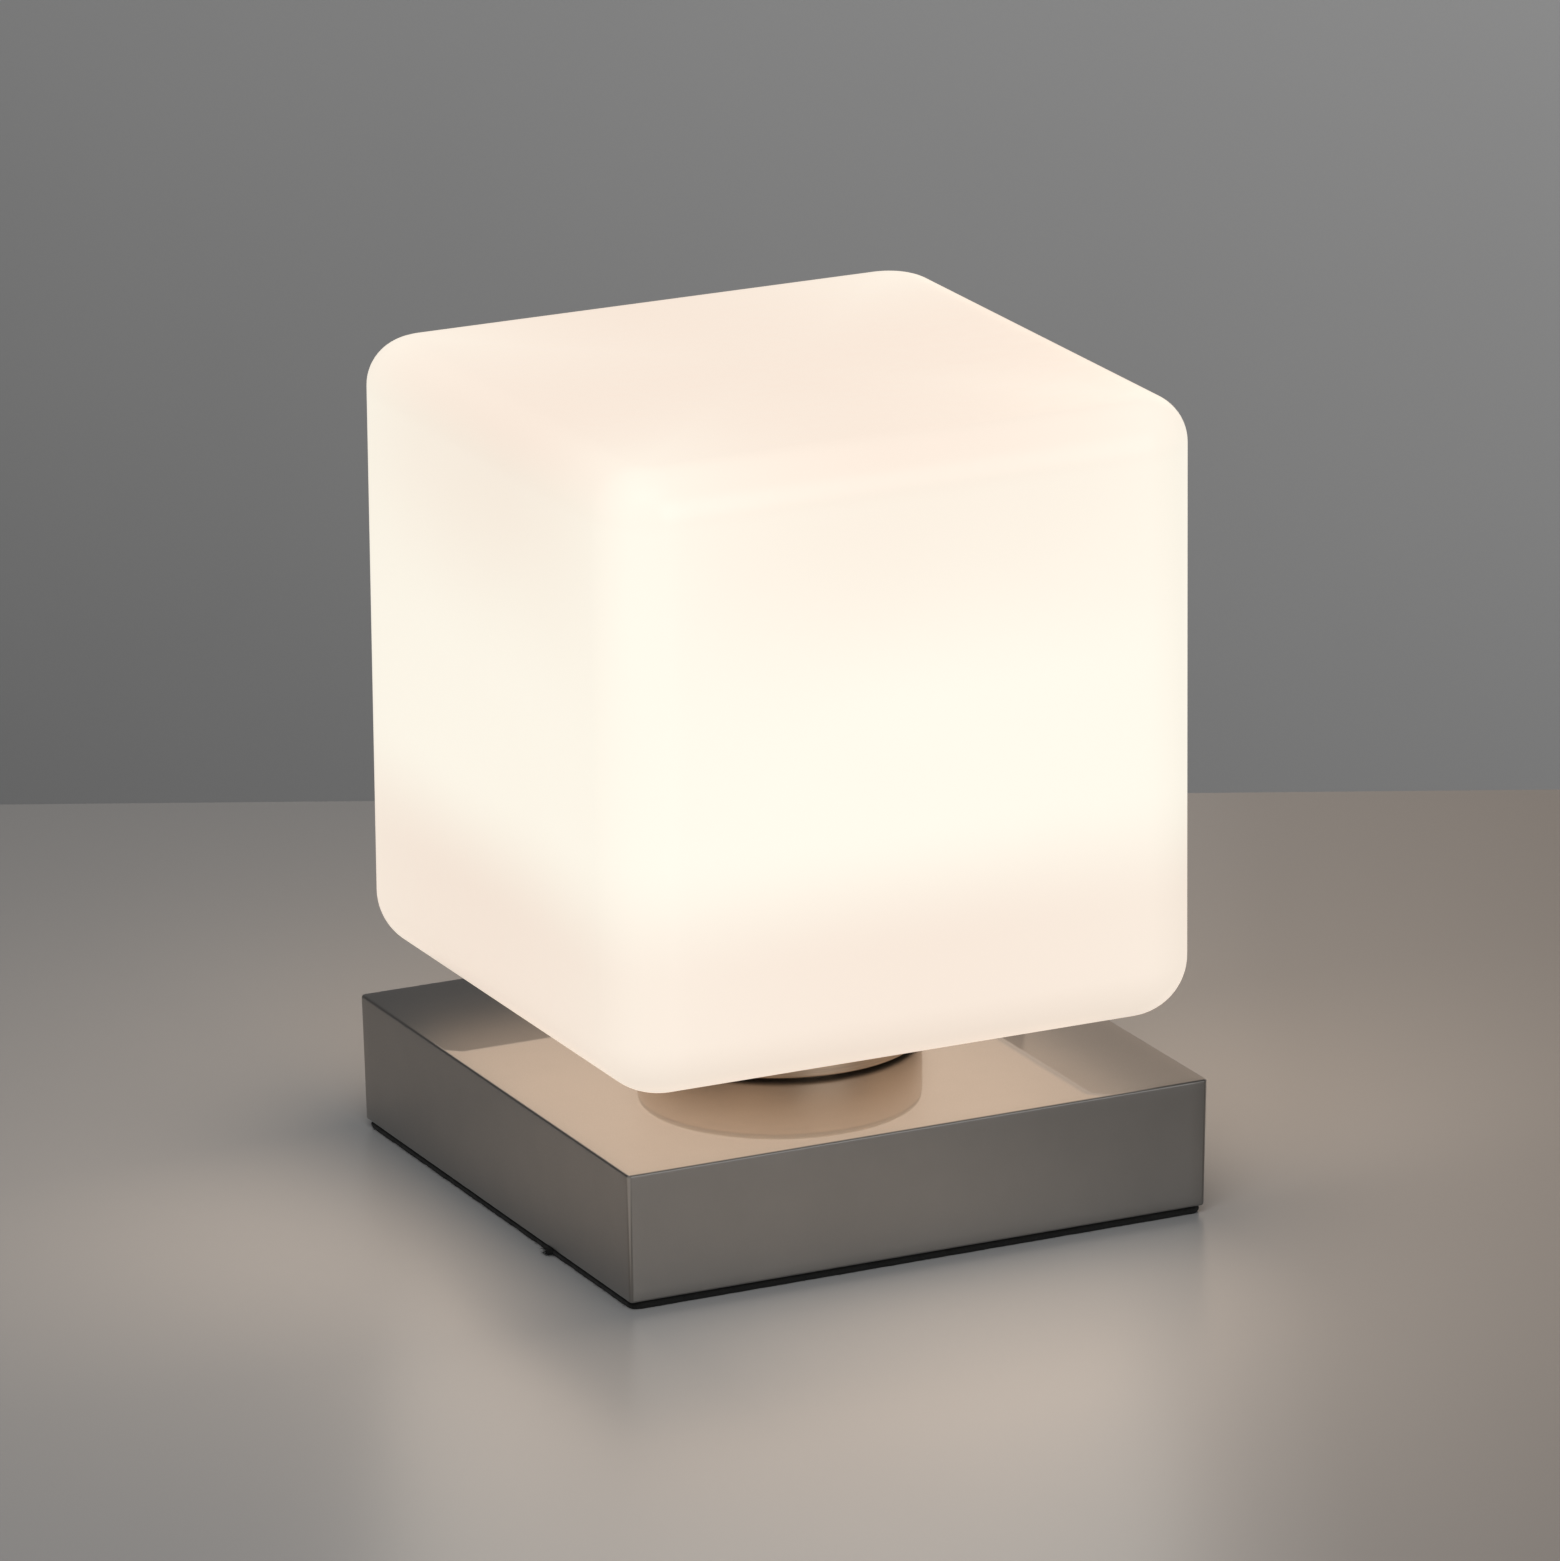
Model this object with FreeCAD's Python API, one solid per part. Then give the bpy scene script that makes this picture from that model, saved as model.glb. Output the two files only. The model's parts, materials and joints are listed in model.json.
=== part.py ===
import FreeCAD, Part
import math
import os

# Cube table lamp. An opal glass cube stands on a round holder cup above a square satin
# nickel base, and an LED post reaches up into it through a round mouth in its floor.
# Sizes are in millimetres. The origin is the middle of the felt's underside, +Z is up,
# and the cord entry is in the rear wall, which faces +Y.
# The glass is not screwed down: it rests on a loose silicone ring, three spring fingers
# hold its mouth from inside, and it is lifted straight off.

# Base: a die-cast cover, drawn in towards its rim, over a steel plate with a felt pad
base_side = 120.0
base_draft_inset = 0.4
cover_height = 25.0
cover_wall = 2.2
cover_top_thick = 2.5
cover_corner_radius = 0.9
cover_inner_corner_radius = 2.5
cover_edge_radius = 0.7
cover_rim_radius = 0.5
boss_inset = 11.0
boss_radius = 4.0
boss_thread_depth = 9.0
rib_thick = 1.6
rib_height = 13.5
plate_thick = 1.5
plate_clearance = 0.3
felt_thick = 1.5
felt_inset = 1.7
felt_corner_radius = 2.0
felt_hole_clearance = 1.4
ballast_side = 92.0
ballast_corner_cut = 12.0
ballast_thick = 5.0

# Small fasteners: one size of pan-head screw, and what its holes leave round it
screw_radius = 1.5
screw_head_radius = 2.8
screw_head_height = 1.2
screw_slot_width = 0.6
screw_slot_depth = 0.5
thread_clearance = 0.05
hole_clearance = 0.2
plate_screw_length = 9.0

# Threaded tube that clamps the stack, with its nuts, toothed washers and ring terminal
nipple_radius = 5.0
nipple_bore_radius = 3.6
nipple_end = 1.0
nut_flats = 14.0
nut_thick = 4.0
washer_radius = 8.2
washer_thick = 0.8
washer_teeth = 16
washer_tooth_depth = 1.1
washer_notch_width = 1.0
terminal_ring_radius = 7.6
terminal_thick = 0.8
terminal_tab_width = 4.0
terminal_tab_length = 12.0
terminal_barrel_radius = 1.6
terminal_barrel_length = 5.0

# Holder: the visible cup, the carrier pressed from sheet, three spring fingers
cup_radius = 27.0
cup_height = 10.5
cup_wall = 1.5
cup_bend_radius = 2.0
carrier_flange_radius = 24.0
carrier_radius = 18.5
carrier_thick = 1.2
carrier_height = 19.5
carrier_bend_radius = 1.5
finger_count = 3
finger_thick = 0.5
finger_span_deg = 28.0
finger_leg_height = 4.4
finger_leg_rise = 0.4
finger_clearance = 0.3
rivet_radius = 1.0
rivet_head_radius = 1.7
rivet_head_height = 0.6
rivet_offset_deg = 8.0

# Glass cube, the loose ring it rests on and the mouth in its floor
ring_thick = 1.0
ring_inner_radius = 23.7
ring_leg_thick = 1.3
ring_leg_height = 2.6
ring_clearance = 0.2
glass_side = 120.6
glass_height = 119.8
glass_wall = 3.5
glass_corner_radius = 12.5
glass_top_edge_radius = 9.0
glass_bottom_edge_radius = 11.5
glass_fillet_margin = 0.5
mouth_radius = 23.0
mouth_edge_radius = 1.0

# LED post: finned heat sink, board with its chips, snap-on diffuser
sink_base_radius = 15.5
sink_base_thick = 8.5
sink_recess_radius = 9.5
sink_recess_depth = 7.0
sink_screw_circle = 12.5
sink_screw_depth = 6.0
sink_core_radius = 6.0
sink_bore_radius = 3.4
sink_fin_radius = 15.0
sink_fin_thick = 1.4
sink_fin_count = 12
sink_fin_length = 25.0
sink_cap_radius = 16.0
sink_cap_thick = 3.0
board_radius = 15.0
board_thick = 1.6
board_hole_radius = 2.6
board_screw_circle = 6.4
board_screw_radius = 1.0
board_screw_head_radius = 1.8
board_screw_head_height = 1.0
board_screw_depth = 2.4
board_screw_count = 3
chip_count = 12
chip_circle = 11.0
chip_length = 3.5
chip_width = 2.8
chip_thick = 0.7
connector_length = 7.0
connector_width = 5.4
connector_height = 3.2
diffuser_wall = 1.5
diffuser_clearance = 0.3
diffuser_skirt = 13.0
diffuser_dome_rise = 10.0
diffuser_bead = 0.6
diffuser_bead_height = 1.2

# Electronics on the base plate: driver with touch dimmer, terminal block, cord clamp
driver_centre_x = 29.0
driver_width = 32.0
driver_length = 62.0
driver_tray_height = 12.5
driver_wall = 1.5
driver_lid_thick = 1.5
driver_lid_lip = 1.0
driver_lid_clearance = 0.15
driver_ear_length = 8.0
driver_ear_thick = 2.0
driver_board_thick = 1.6
driver_board_gap = 0.6
driver_board_rise = 2.0
driver_standoff_radius = 1.8
driver_standoff_inset = 4.0
driver_slot_clearance = 0.4
transformer_side = 16.0
transformer_lid_gap = 0.9
transformer_core_width = 6.0
transformer_y = 12.0
capacitor_radius = 3.5
capacitor_length = 14.0
capacitor_y = -14.0
output_block_side = 5.0
output_block_height = 4.0
block_centre_x = -24.0
block_driver_inset = 11.0
block_length = 16.0
block_pitch = 8.0
block_poles = 2
block_height = 11.0
block_wire_height = 4.2
block_sleeve_radius = 1.7
block_funnel_radius = 2.3
block_funnel_depth = 3.0
block_screw_radius = 1.6
block_screw_height = 2.2
block_screw_inset = 4.6
clamp_width = 25.0
clamp_depth = 8.0
clamp_bar_height = 4.4
clamp_bar_gap = 0.8
clamp_screw_span = 17.0
clamp_edge_radius = 0.8
clamp_back_gap = 6.0

# Cord entry in the rear wall
cord_radius = 3.0
cord_axis_rise = 8.5
bush_neck_radius = 4.5
bush_flange_radius = 6.2
bush_flange_thick = 1.4
bush_edge_radius = 0.6

# Insulated wires inside the lamp
led_wire_radius = 0.7
led_wire_gap = 0.5
led_wire_bend = 4.5
touch_wire_radius = 0.7
touch_wire_bend = 4.0
touch_wire_reach = 9.0
mains_wire_radius = 1.1
wire_entry = 4.0

# One overrun serves every cut that has to pass right through, and an edge counts as
# lying at a level when it is this near to it
overrun = 1.0
level_nearness = 0.001

# Levels and places that follow from the sizes above
plate_top = felt_thick + plate_thick
rim_z = felt_thick
base_top = rim_z + cover_height
ceiling = base_top - cover_top_thick
ballast_low = ceiling - ballast_thick
terminal_low = ballast_low - terminal_thick
lower_washer_low = terminal_low - washer_thick
lower_nut_low = lower_washer_low - nut_thick
nipple_low = lower_nut_low - nipple_end
cup_floor = base_top + cup_wall
cup_rim = base_top + cup_height
carrier_top = cup_floor + carrier_height
upper_nut_low = carrier_top + washer_thick
nipple_high = upper_nut_low + nut_thick + nipple_end
glass_low = cup_rim + ring_thick
glass_high = glass_low + glass_height
mouth_middle = glass_low + glass_wall / 2
sink_fins_low = carrier_top + sink_base_thick
sink_cap_low = sink_fins_low + sink_fin_length
board_low = sink_cap_low + sink_cap_thick
board_high = board_low + board_thick
diffuser_inner_radius = sink_cap_radius + diffuser_clearance
diffuser_radius = diffuser_inner_radius + diffuser_wall
diffuser_low = sink_cap_low - diffuser_clearance - diffuser_bead_height
cord_axis_z = plate_top + cord_axis_rise
cover_mid_inset = base_draft_inset * (base_top - cord_axis_z) / cover_height
wall_outer_y = base_side / 2 - cover_mid_inset
wall_inner_y = wall_outer_y - cover_wall
clamp_centre_y = wall_inner_y - clamp_back_gap - clamp_depth / 2
boss_place = base_side / 2 - boss_inset
driver_low_x = driver_centre_x - driver_width / 2
driver_floor = plate_top + driver_wall
driver_board_low = driver_floor + driver_board_rise
driver_board_high = driver_board_low + driver_board_thick
driver_lid_low = plate_top + driver_tray_height
led_wire_z = driver_board_high + output_block_height / 2
led_wire_y = led_wire_radius + led_wire_gap / 2
block_wire_z = plate_top + block_wire_height
touch_wire_z = terminal_low + terminal_thick / 2
touch_start_y = -(terminal_tab_length + terminal_barrel_length)
touch_drop_y = touch_start_y - touch_wire_reach
ear_hole_y = driver_length / 2 + driver_ear_length / 2
block_centre_y = driver_length / 2 - block_driver_inset
transformer_height = driver_lid_low - transformer_lid_gap - driver_board_high

up = FreeCAD.Vector(0, 0, 1)
origin = FreeCAD.Vector(0, 0, 0)


def point(x, y, z):
    return FreeCAD.Vector(x, y, z)


def cylinder(radius, low, high, x=0, y=0):
    """An upright round bar between two levels."""
    return Part.makeCylinder(radius, high - low, point(x, y, low))


def bar(radius, start, end):
    """A round bar between two points."""
    along = end - start
    return Part.makeCylinder(radius, along.Length, start, along)


def block(x_low, x_high, y_low, y_high, z_low, z_high):
    """A square-edged block between two corners."""
    size = point(x_high - x_low, y_high - y_low, z_high - z_low)
    return Part.makeBox(size.x, size.y, size.z, point(x_low, y_low, z_low))


def rounded_square(side, radius, z):
    """A closed wire: four straight edges joined by quarter arcs, centred on the axis."""
    flat = side / 2 - radius
    edges = []
    for turn in range(4):
        start = math.radians(90 * turn)
        centre = point(flat * (1 if turn in (0, 3) else -1), flat * (1 if turn in (0, 1) else -1), z)
        on_arc = []
        for share in (0, 1 / 2, 1):
            angle = start + share * math.pi / 2
            on_arc.append(centre + point(radius * math.cos(angle), radius * math.sin(angle), 0))
        edges.append(Part.Arc(*on_arc).toShape())
    ends = [(edge.Vertexes[0].Point, edge.Vertexes[-1].Point) for edge in edges]
    for turn in range(4):
        edges.append(Part.makeLine(ends[turn][1], ends[(turn + 1) % 4][0]))
    return Part.Wire(Part.__sortEdges__(edges))


def rounded_slab(side, radius, low, high):
    """An upright prism on a rounded square."""
    return Part.Face(rounded_square(side, radius, low)).extrude(point(0, 0, high - low))


def edges_at(shape, z):
    """The edges of a shape that lie wholly at one level."""
    return [e for e in shape.Edges
            if max(abs(e.BoundBox.ZMin - z), abs(e.BoundBox.ZMax - z)) < level_nearness]


def turned(profile):
    """A solid of revolution about the upright axis, from a closed list of (radius, z) edges."""
    return Part.Face(Part.Wire(profile)).revolve(origin, up, 360)


def profile_lines(corners):
    """Straight edges round a closed list of (radius, z) corners."""
    places = [point(r, 0, z) for r, z in corners]
    return [Part.makeLine(a, b) for a, b in zip(places, places[1:] + places[:1])]


def round_the_axis(shape, count, start_deg=0):
    """Copies of a shape, evenly spaced round the upright axis."""
    copies = []
    for number in range(count):
        copy = shape.copy()
        copy.rotate(origin, up, start_deg + 360 * number / count)
        copies.append(copy)
    return copies


def corner_places():
    """Where the four cover bosses and their screws stand."""
    return [(sx * boss_place, sy * boss_place) for sx in (-1, 1) for sy in (-1, 1)]


def pan_screw(x, y, seat, length, downward=False):
    """A pan-head screw with a cross recess. Its head lies under the seat, or over it if it points down."""
    shank = cylinder(screw_radius - thread_clearance, seat, seat + length)
    head = cylinder(screw_head_radius, seat - screw_head_height, seat)
    head = head.makeChamfer(screw_head_height / 2, edges_at(head, seat - screw_head_height))
    reach = screw_head_radius * 3 / 5
    slot_top = seat - screw_head_height + screw_slot_depth
    slot_low = seat - screw_head_height - overrun
    half = screw_slot_width / 2
    cross = block(-reach, reach, -half, half, slot_low, slot_top)
    cross = cross.fuse(block(-half, half, -reach, reach, slot_low, slot_top))
    screw = head.fuse(shank).removeSplitter().cut(cross)
    if downward:
        screw.rotate(point(0, 0, seat), point(1, 0, 0), 180)
    screw.translate(point(x, y, 0))
    return screw


def hex_nut(low):
    """A hexagon nut on the threaded tube."""
    corner = nut_flats / 2 / math.cos(math.pi / 6)
    places = []
    for number in range(6):
        angle = math.pi / 3 * number
        places.append(point(corner * math.cos(angle), corner * math.sin(angle), low))
    prism = Part.Face(Part.makePolygon(places + places[:1])).extrude(point(0, 0, nut_thick))
    # The corners are turned off at 30 degrees on both faces.
    drop = (corner - nut_flats / 2) / math.sqrt(3)
    rounded = turned(profile_lines([
        (0, low), (nut_flats / 2, low), (corner, low + drop), (corner, low + nut_thick - drop),
        (nut_flats / 2, low + nut_thick), (0, low + nut_thick)]))
    bore = cylinder(nipple_radius + thread_clearance, low - overrun, low + nut_thick + overrun)
    return prism.common(rounded).cut(bore)


def lock_washer(low):
    """A washer with teeth round its outside."""
    ring = cylinder(washer_radius, low, low + washer_thick)
    half = washer_notch_width / 2
    root = washer_radius - washer_tooth_depth
    notch = block(root, washer_radius + overrun, -half, half, low - overrun, low + washer_thick + overrun)
    bore = cylinder(nipple_radius + hole_clearance, low - overrun, low + washer_thick + overrun)
    return ring.cut([bore] + round_the_axis(notch, washer_teeth))


def tube_along(corners, radius, bend):
    """A round wire along straight runs joined by tangent arcs of one bend radius."""
    edges = []
    reached = corners[0]
    for before, corner, after in zip(corners, corners[1:], corners[2:]):
        back = (before - corner).normalize()
        ahead = (after - corner).normalize()
        half_turn = (math.pi - back.getAngle(ahead)) / 2
        setback = bend * math.tan(half_turn)
        start = corner + back * setback
        end = corner + ahead * setback
        inward = (back + ahead).normalize()
        middle = corner + inward * (bend / math.cos(half_turn) - bend)
        edges.append(Part.makeLine(reached, start))
        edges.append(Part.Arc(start, middle, end).toShape())
        reached = end
    edges.append(Part.makeLine(reached, corners[-1]))
    path = Part.Wire(edges)
    section = Part.Wire(Part.makeCircle(radius, corners[0], corners[1] - corners[0]))
    return path.makePipeShell([section], True, False)


def base_cover():
    """Square die-cast shell, open underneath, with a screw boss and two ribs in each corner."""
    rim_side = base_side - 2 * base_draft_inset
    outer = Part.makeLoft([
        rounded_square(rim_side, cover_corner_radius, rim_z),
        rounded_square(base_side, cover_corner_radius, base_top)], True, True)
    outer = outer.makeFillet(cover_edge_radius, edges_at(outer, base_top))
    outer = outer.makeFillet(cover_rim_radius, edges_at(outer, rim_z))
    ceiling_inset = base_draft_inset * (base_top - ceiling) / cover_height
    cavity = Part.makeLoft([
        rounded_square(rim_side - 2 * cover_wall, cover_inner_corner_radius, rim_z),
        rounded_square(base_side - 2 * (ceiling_inset + cover_wall), cover_inner_corner_radius, ceiling)],
        True, True)
    shell = outer.cut(cavity)
    wall_middle = base_side / 2 - base_draft_inset - cover_wall / 2
    rib_low = ceiling - rib_height
    added = []
    drilled = []
    for x, y in corner_places():
        added.append(cylinder(boss_radius, plate_top, base_top - cover_top_thick / 2, x, y))
        x_wall = math.copysign(wall_middle, x)
        y_wall = math.copysign(wall_middle, y)
        half = rib_thick / 2
        rib_high = base_top - cover_top_thick / 2
        added.append(block(min(x, x_wall), max(x, x_wall), y - half, y + half, rib_low, rib_high))
        added.append(block(x - half, x + half, min(y, y_wall), max(y, y_wall), rib_low, rib_high))
        drilled.append(cylinder(screw_radius, plate_top - overrun, plate_top + boss_thread_depth, x, y))
    drilled.append(cylinder(nipple_radius + hole_clearance, ceiling - overrun, base_top + overrun))
    inside = point(0, wall_inner_y - overrun, cord_axis_z)
    drilled.append(bar(bush_neck_radius, inside, point(0, base_side / 2 + overrun, cord_axis_z)))
    return shell.fuse(added).removeSplitter().cut(drilled)


def plate_screw_places():
    """Places of the screws that stand in the base plate, apart from the four corner ones."""
    half_span = clamp_screw_span / 2
    places = [(driver_centre_x, side * ear_hole_y) for side in (-1, 1)]
    places += [(side * half_span, clamp_centre_y) for side in (-1, 1)]
    return places + [(block_centre_x, block_centre_y)]


def base_plate():
    """Steel sheet that closes the cover from below, flush with its rim."""
    side = base_side - 2 * (base_draft_inset + cover_wall + plate_clearance)
    sheet = rounded_slab(side, cover_inner_corner_radius, rim_z, plate_top)
    low, high = rim_z - overrun, plate_top + overrun
    holes = [cylinder(screw_radius + hole_clearance, low, high, x, y) for x, y in corner_places()]
    holes += [cylinder(screw_radius, low, high, x, y) for x, y in plate_screw_places()]
    return sheet.cut(holes)


def felt_pad():
    """Black felt under the plate, with a hole round each corner screw's head."""
    side = base_side - 2 * (base_draft_inset + felt_inset)
    sheet = rounded_slab(side, felt_corner_radius, 0, felt_thick)
    radius = screw_head_radius + felt_hole_clearance
    holes = [cylinder(radius, -overrun, felt_thick + overrun, x, y) for x, y in corner_places()]
    return sheet.cut(holes)


def plate_screws():
    """Four screws from below, through the plate into the cover's bosses."""
    return [pan_screw(x, y, rim_z, plate_screw_length) for x, y in corner_places()]


def ballast_plate():
    """Thick steel weight under the cover's ceiling, with its corners cut off to clear the bosses."""
    half = ballast_side / 2
    flat = half - ballast_corner_cut
    outline = [(half, -flat), (half, flat), (flat, half), (-flat, half),
               (-half, flat), (-half, -flat), (-flat, -half), (flat, -half)]
    places = [point(x, y, ballast_low) for x, y in outline]
    weight = Part.Face(Part.makePolygon(places + places[:1])).extrude(point(0, 0, ballast_thick))
    return weight.cut(cylinder(nipple_radius + hole_clearance, ballast_low - overrun, ceiling + overrun))


def threaded_nipple():
    """Hollow threaded tube through the base, the cup and the carrier."""
    tube = cylinder(nipple_radius, nipple_low, nipple_high)
    return tube.cut(cylinder(nipple_bore_radius, nipple_low - overrun, nipple_high + overrun))


def touch_ring_terminal():
    """Flat ring under the lower washer, with a tab and a crimp barrel for the touch lead."""
    ring = cylinder(terminal_ring_radius, terminal_low, ballast_low)
    half = terminal_tab_width / 2
    tab_end = -terminal_tab_length
    tab = block(-half, half, tab_end, 0, terminal_low, ballast_low)
    barrel_z = touch_wire_z - terminal_barrel_radius + terminal_thick / 2
    start = point(0, tab_end, barrel_z)
    end = point(0, tab_end - terminal_barrel_length, barrel_z)
    barrel = bar(terminal_barrel_radius, start, end)
    neck = block(-half, half, tab_end, tab_end + terminal_thick, barrel_z, ballast_low)
    whole = ring.fuse([tab, neck, barrel]).removeSplitter()
    nipple = cylinder(nipple_radius + hole_clearance, terminal_low - overrun, ballast_low + overrun)
    grip = bar(touch_wire_radius, point(0, tab_end, barrel_z), end + point(0, -overrun, 0))
    return whole.cut([nipple, grip])


def holder_cup():
    """Upright turned cup that the lamp shows between base and glass. Its rim carries the glass."""
    inner = cup_radius - cup_wall
    bend = cup_bend_radius
    low, high = base_top, cup_rim
    tip = bend * (1 - math.cos(math.pi / 4))
    inner_bend = max(bend - cup_wall, cup_wall / 4)
    inner_tip = inner_bend * (1 - math.cos(math.pi / 4))
    hole = nipple_radius + hole_clearance
    arc_out = Part.Arc(
        point(cup_radius - bend, 0, low), point(cup_radius - tip, 0, low + tip),
        point(cup_radius, 0, low + bend)).toShape()
    arc_in = Part.Arc(
        point(inner, 0, cup_floor + inner_bend), point(inner - inner_tip, 0, cup_floor + inner_tip),
        point(inner - inner_bend, 0, cup_floor)).toShape()
    profile = [
        Part.makeLine(point(hole, 0, low), point(cup_radius - bend, 0, low)),
        arc_out,
        Part.makeLine(point(cup_radius, 0, low + bend), point(cup_radius, 0, high)),
        Part.makeLine(point(cup_radius, 0, high), point(inner, 0, high)),
        Part.makeLine(point(inner, 0, high), point(inner, 0, cup_floor + inner_bend)),
        arc_in,
        Part.makeLine(point(inner - inner_bend, 0, cup_floor), point(hole, 0, cup_floor)),
        Part.makeLine(point(hole, 0, cup_floor), point(hole, 0, low))]
    return turned(profile)


def finger_angles():
    """The middle of each spring finger, in degrees round the axis."""
    return [90 + 360 * number / finger_count for number in range(finger_count)]


def rivet_bars(radius, inner, outer):
    """Round bars that point outwards through the carrier wall, two to a finger."""
    height = cup_floor + carrier_thick + finger_leg_rise + finger_leg_height / 2
    bars = []
    for middle in finger_angles():
        for side in (-1, 1):
            angle = math.radians(middle + side * rivet_offset_deg)
            way = point(math.cos(angle), math.sin(angle), 0)
            bars.append(bar(radius, way * inner + up * height, way * outer + up * height))
    return bars


def spring_carrier():
    """Sheet-metal hat clamped in the cup: a flange, a round wall and a flat top."""
    flange_high = cup_floor + carrier_thick
    inner = carrier_radius - carrier_thick
    hat = turned(profile_lines([
        (nipple_radius + hole_clearance, carrier_top - carrier_thick),
        (inner, carrier_top - carrier_thick), (inner, cup_floor),
        (carrier_flange_radius, cup_floor), (carrier_flange_radius, flange_high),
        (carrier_radius, flange_high), (carrier_radius, carrier_top),
        (nipple_radius + hole_clearance, carrier_top)]))
    outer_rim = [e for e in edges_at(hat, carrier_top) if e.BoundBox.XMax > carrier_radius - carrier_thick]
    hat = hat.makeFillet(carrier_bend_radius, outer_rim)
    holes = rivet_bars(rivet_radius, inner - overrun, carrier_radius + overrun)
    low, high = carrier_top - carrier_thick - overrun, carrier_top + overrun
    screw_hole = cylinder(screw_radius + hole_clearance, low, high, sink_screw_circle)
    return hat.cut(holes + round_the_axis(screw_hole, finger_count))


def clip_spring(middle_deg):
    """One spring finger: a leg on the carrier wall, then a bow that reaches for the mouth."""
    leg_low = cup_floor + carrier_thick + finger_leg_rise
    leg_high = leg_low + finger_leg_height
    inner = carrier_radius
    outer = inner + finger_thick
    reach = mouth_radius - finger_clearance
    tip_high = 2 * mouth_middle - leg_high
    bow_out = Part.Arc(point(outer, 0, leg_high), point(reach, 0, mouth_middle), point(outer, 0, tip_high))
    bow_in = Part.Arc(
        point(inner, 0, tip_high), point(reach - finger_thick, 0, mouth_middle), point(inner, 0, leg_high))
    profile = [
        Part.makeLine(point(inner, 0, leg_low), point(outer, 0, leg_low)),
        Part.makeLine(point(outer, 0, leg_low), point(outer, 0, leg_high)),
        bow_out.toShape(),
        Part.makeLine(point(outer, 0, tip_high), point(inner, 0, tip_high)),
        bow_in.toShape(),
        Part.makeLine(point(inner, 0, leg_high), point(inner, 0, leg_low))]
    finger = Part.Face(Part.Wire(profile)).revolve(origin, up, finger_span_deg)
    finger.rotate(origin, up, middle_deg - finger_span_deg / 2)
    return finger.cut(rivet_bars(rivet_radius, inner - overrun, outer + overrun))


def spring_rivets(carrier, fingers):
    """Two rivets to a finger. Their heads are set down onto the curved sheet."""
    inner = carrier_radius - carrier_thick
    outer = carrier_radius + finger_thick
    shanks = rivet_bars(rivet_radius, inner - rivet_head_height, outer + rivet_head_height)
    inner_heads = rivet_bars(rivet_head_radius, inner - rivet_head_height, carrier_radius)
    outer_heads = rivet_bars(rivet_head_radius, carrier_radius, outer + rivet_head_height)
    rivets = []
    for shank, inside, outside in zip(shanks, inner_heads, outer_heads):
        whole = shank.fuse([inside, outside]).removeSplitter()
        rivets.append(whole.cut([carrier] + fingers))
    return rivets


def seat_ring():
    """Loose silicone ring on the cup's rim, centred by a leg inside the cup."""
    leg_outer = cup_radius - cup_wall - ring_clearance
    leg_inner = leg_outer - ring_leg_thick
    return turned(profile_lines([
        (ring_inner_radius, cup_rim), (leg_inner, cup_rim), (leg_inner, cup_rim - ring_leg_height),
        (leg_outer, cup_rim - ring_leg_height), (leg_outer, cup_rim), (cup_radius, cup_rim),
        (cup_radius, glass_low), (ring_inner_radius, glass_low)]))


def glass_body(side, corner, low, high, low_edge, high_edge):
    """A rounded square prism with its bottom and top edges rounded too."""
    body = rounded_slab(side, corner, low, high)
    limit = corner - glass_fillet_margin
    body = body.makeFillet(min(low_edge, limit), edges_at(body, low))
    return body.makeFillet(min(high_edge, limit), edges_at(body, high))


def glass_shade():
    """Opal glass cube of even wall, closed but for the round mouth in its floor."""
    outer = glass_body(
        glass_side, glass_corner_radius, glass_low, glass_high,
        glass_bottom_edge_radius, glass_top_edge_radius)
    inner = glass_body(
        glass_side - 2 * glass_wall, glass_corner_radius - glass_wall,
        glass_low + glass_wall, glass_high - glass_wall,
        glass_bottom_edge_radius - glass_wall, glass_top_edge_radius - glass_wall)
    mouth = cylinder(mouth_radius, glass_low - overrun, glass_low + glass_wall + overrun)
    glass = outer.cut([inner, mouth])
    rims = [e for z in (glass_low, glass_low + glass_wall) for e in edges_at(glass, z)
            if e.BoundBox.XMax < mouth_radius + glass_fillet_margin]
    return glass.makeFillet(mouth_edge_radius, rims)


def heat_sink():
    """Aluminium post: a recessed foot, straight fins round a core, and a cap for the board."""
    foot = cylinder(sink_base_radius, carrier_top, sink_fins_low)
    core = cylinder(sink_core_radius, sink_fins_low, sink_cap_low)
    cap = cylinder(sink_cap_radius, sink_cap_low, board_low)
    half = sink_fin_thick / 2
    fin = block(sink_core_radius / 2, sink_fin_radius, -half, half, sink_fins_low, sink_cap_low)
    solid = foot.fuse([core, cap] + round_the_axis(fin, sink_fin_count)).removeSplitter()
    cuts = [
        cylinder(sink_recess_radius, carrier_top - overrun, carrier_top + sink_recess_depth),
        cylinder(sink_bore_radius, carrier_top, board_low + overrun)]
    foot_hole = cylinder(
        screw_radius, carrier_top - overrun, carrier_top + sink_screw_depth, sink_screw_circle)
    cap_hole = cylinder(
        board_screw_radius, board_low - board_screw_depth, board_low + overrun, board_screw_circle)
    cuts += round_the_axis(foot_hole, finger_count)
    cuts += round_the_axis(cap_hole, board_screw_count)
    return solid.cut(cuts)


def heat_sink_screws():
    """Three screws from below, through the carrier's top into the heat sink's foot."""
    seat = carrier_top - carrier_thick
    length = carrier_thick + sink_screw_depth * 4 / 5
    screw = pan_screw(sink_screw_circle, 0, seat, length)
    return round_the_axis(screw, finger_count)


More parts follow.
